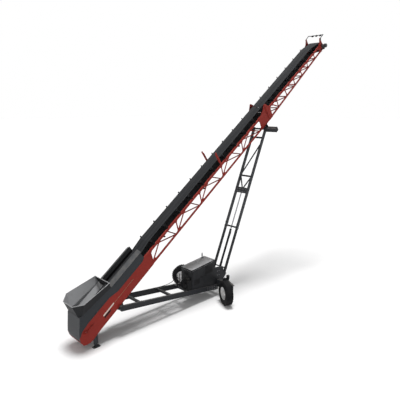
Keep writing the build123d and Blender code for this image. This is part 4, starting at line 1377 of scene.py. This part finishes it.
class CONVEYOR_OT_stage(Operator):
    """Adds the pale floor, the soft lamps and the camera."""

    bl_idname = "conveyor.set_stage"
    bl_label = "Set the stage"

    def execute(self, context):
        scene = context.scene
        scene.view_settings.view_transform = "Standard"
        floor = Builder()
        reach = FLOOR_REACH
        floor.prism(((-reach, 0), (reach, 0), (reach, -FLOOR_THICK), (-reach, -FLOOR_THICK)), -reach, reach)
        ground = bpy.data.objects.new("floor", floor.mesh("floor"))
        scene.collection.objects.link(ground)
        ground.data.materials.append(floor_finish())
        set_world(scene)
        for name, energy, angle, turn in (("high_lamp", 3.0, 18, (0, 4)), ("side_lamp", 0.7, 80, (18, -35))):
            lamp = bpy.data.lights.new(name, "SUN")
            lamp.energy = energy
            lamp.angle = radians(angle)
            sun = bpy.data.objects.new(name, lamp)
            sun.rotation_euler = (radians(turn[0]), radians(turn[1]), 0)
            scene.collection.objects.link(sun)
        set_camera(scene)
        return {"FINISHED"}


def seen_directly(tree):
    """1 for rays from the camera, by mirror or through glass."""
    path = tree.node("ShaderNodeLightPath").outputs
    camera, glossy, through = (Number(tree, path[f"Is {kind} Ray"]) for kind in ("Camera", "Glossy", "Transmission"))
    total = camera + glossy + through
    return total.math("MINIMUM", total, 1.0)


def floor_finish():
    f = Finish("floor")
    speck = f.noise(0.6, 2.0)
    tone = f.mix(speck, (0.80, 0.80, 0.80, 1.0), (0.83, 0.83, 0.83, 1.0))
    f.feed(f.shader.inputs["Emission Color"], WHITE)
    f.feed(f.shader.inputs["Emission Strength"], seen_directly(f) * 0.05)
    return f.surface(tone, 1.0)


def set_world(scene):
    world = bpy.data.worlds.new("daylight")
    world.use_nodes = True
    scene.world = world
    tree = Nodes(world.node_tree)
    strength = seen_directly(tree) * 0.90 + 0.10
    back = tree.node("ShaderNodeBackground", None, {"Color": WHITE, "Strength": strength})
    tree.node("ShaderNodeOutputWorld", None, {"Surface": back})


def set_camera(scene):
    turn, pitch = radians(44.72), radians(11.28)
    focal, middle_x, middle_y, picture = 431.45, 200.69, 193.26, 400.0
    ahead = Vector((sin(turn) * cos(pitch), cos(turn) * cos(pitch), -sin(pitch)))
    data = bpy.data.cameras.new("camera")
    data.sensor_width = 36.0
    data.lens = focal * data.sensor_width / picture
    data.shift_x = (picture / 2 - middle_x) / picture
    data.shift_y = (middle_y - picture / 2) / picture
    data.clip_end = 1000.0
    camera = bpy.data.objects.new("camera", data)
    camera.rotation_mode = "QUATERNION"
    camera.rotation_quaternion = ahead.to_track_quat("-Z", "Y")
    camera.location = (TAIL.x - 7.21, -13.78, 8.90)
    scene.collection.objects.link(camera)
    scene.camera = camera


PIECES = (CONVEYOR_OT_finish, CONVEYOR_OT_lattice, CONVEYOR_OT_head_end, CONVEYOR_OT_fold_covers,
          CONVEYOR_OT_boards, CONVEYOR_OT_belts, CONVEYOR_OT_leg_heads, CONVEYOR_OT_tail_trim,
          CONVEYOR_OT_bearings, CONVEYOR_OT_bolts, CONVEYOR_OT_idlers, CONVEYOR_OT_gussets,
          CONVEYOR_OT_pipes, CONVEYOR_OT_head, CONVEYOR_OT_drive, CONVEYOR_OT_legs, CONVEYOR_OT_canopy,
          CONVEYOR_OT_valves, CONVEYOR_OT_chassis, CONVEYOR_OT_tyres, CONVEYOR_OT_hubs,
          CONVEYOR_OT_swivels, CONVEYOR_OT_feet, CONVEYOR_OT_stage)


class CONVEYOR_PT_sidebar(Panel):
    """Lists the pieces in the 3D view's sidebar."""

    bl_idname = "CONVEYOR_PT_sidebar"
    bl_label = "Belt conveyor"
    bl_space_type = "VIEW_3D"
    bl_region_type = "UI"
    bl_category = "Conveyor"

    def draw(self, context):
        for piece in PIECES:
            self.layout.operator(piece.bl_idname)
        for group in (context.scene.conveyor_colours, context.scene.conveyor_sizes):
            for name in group.__annotations__:
                self.layout.prop(group, name)


GROUPS = (ConveyorColours, ConveyorSizes)


def register():
    for kind in GROUPS + PIECES + (CONVEYOR_PT_sidebar,):
        bpy.utils.register_class(kind)
    bpy.types.Scene.conveyor_colours = PointerProperty(type=ConveyorColours)
    bpy.types.Scene.conveyor_sizes = PointerProperty(type=ConveyorSizes)


def unregister():
    del bpy.types.Scene.conveyor_sizes
    del bpy.types.Scene.conveyor_colours
    for kind in reversed(GROUPS + PIECES + (CONVEYOR_PT_sidebar,)):
        bpy.utils.unregister_class(kind)


def main():
    register()
    for piece in PIECES:
        family, name = piece.bl_idname.split(".")
        getattr(getattr(bpy.ops, family), name)()


if __name__ == "__main__":
    main()
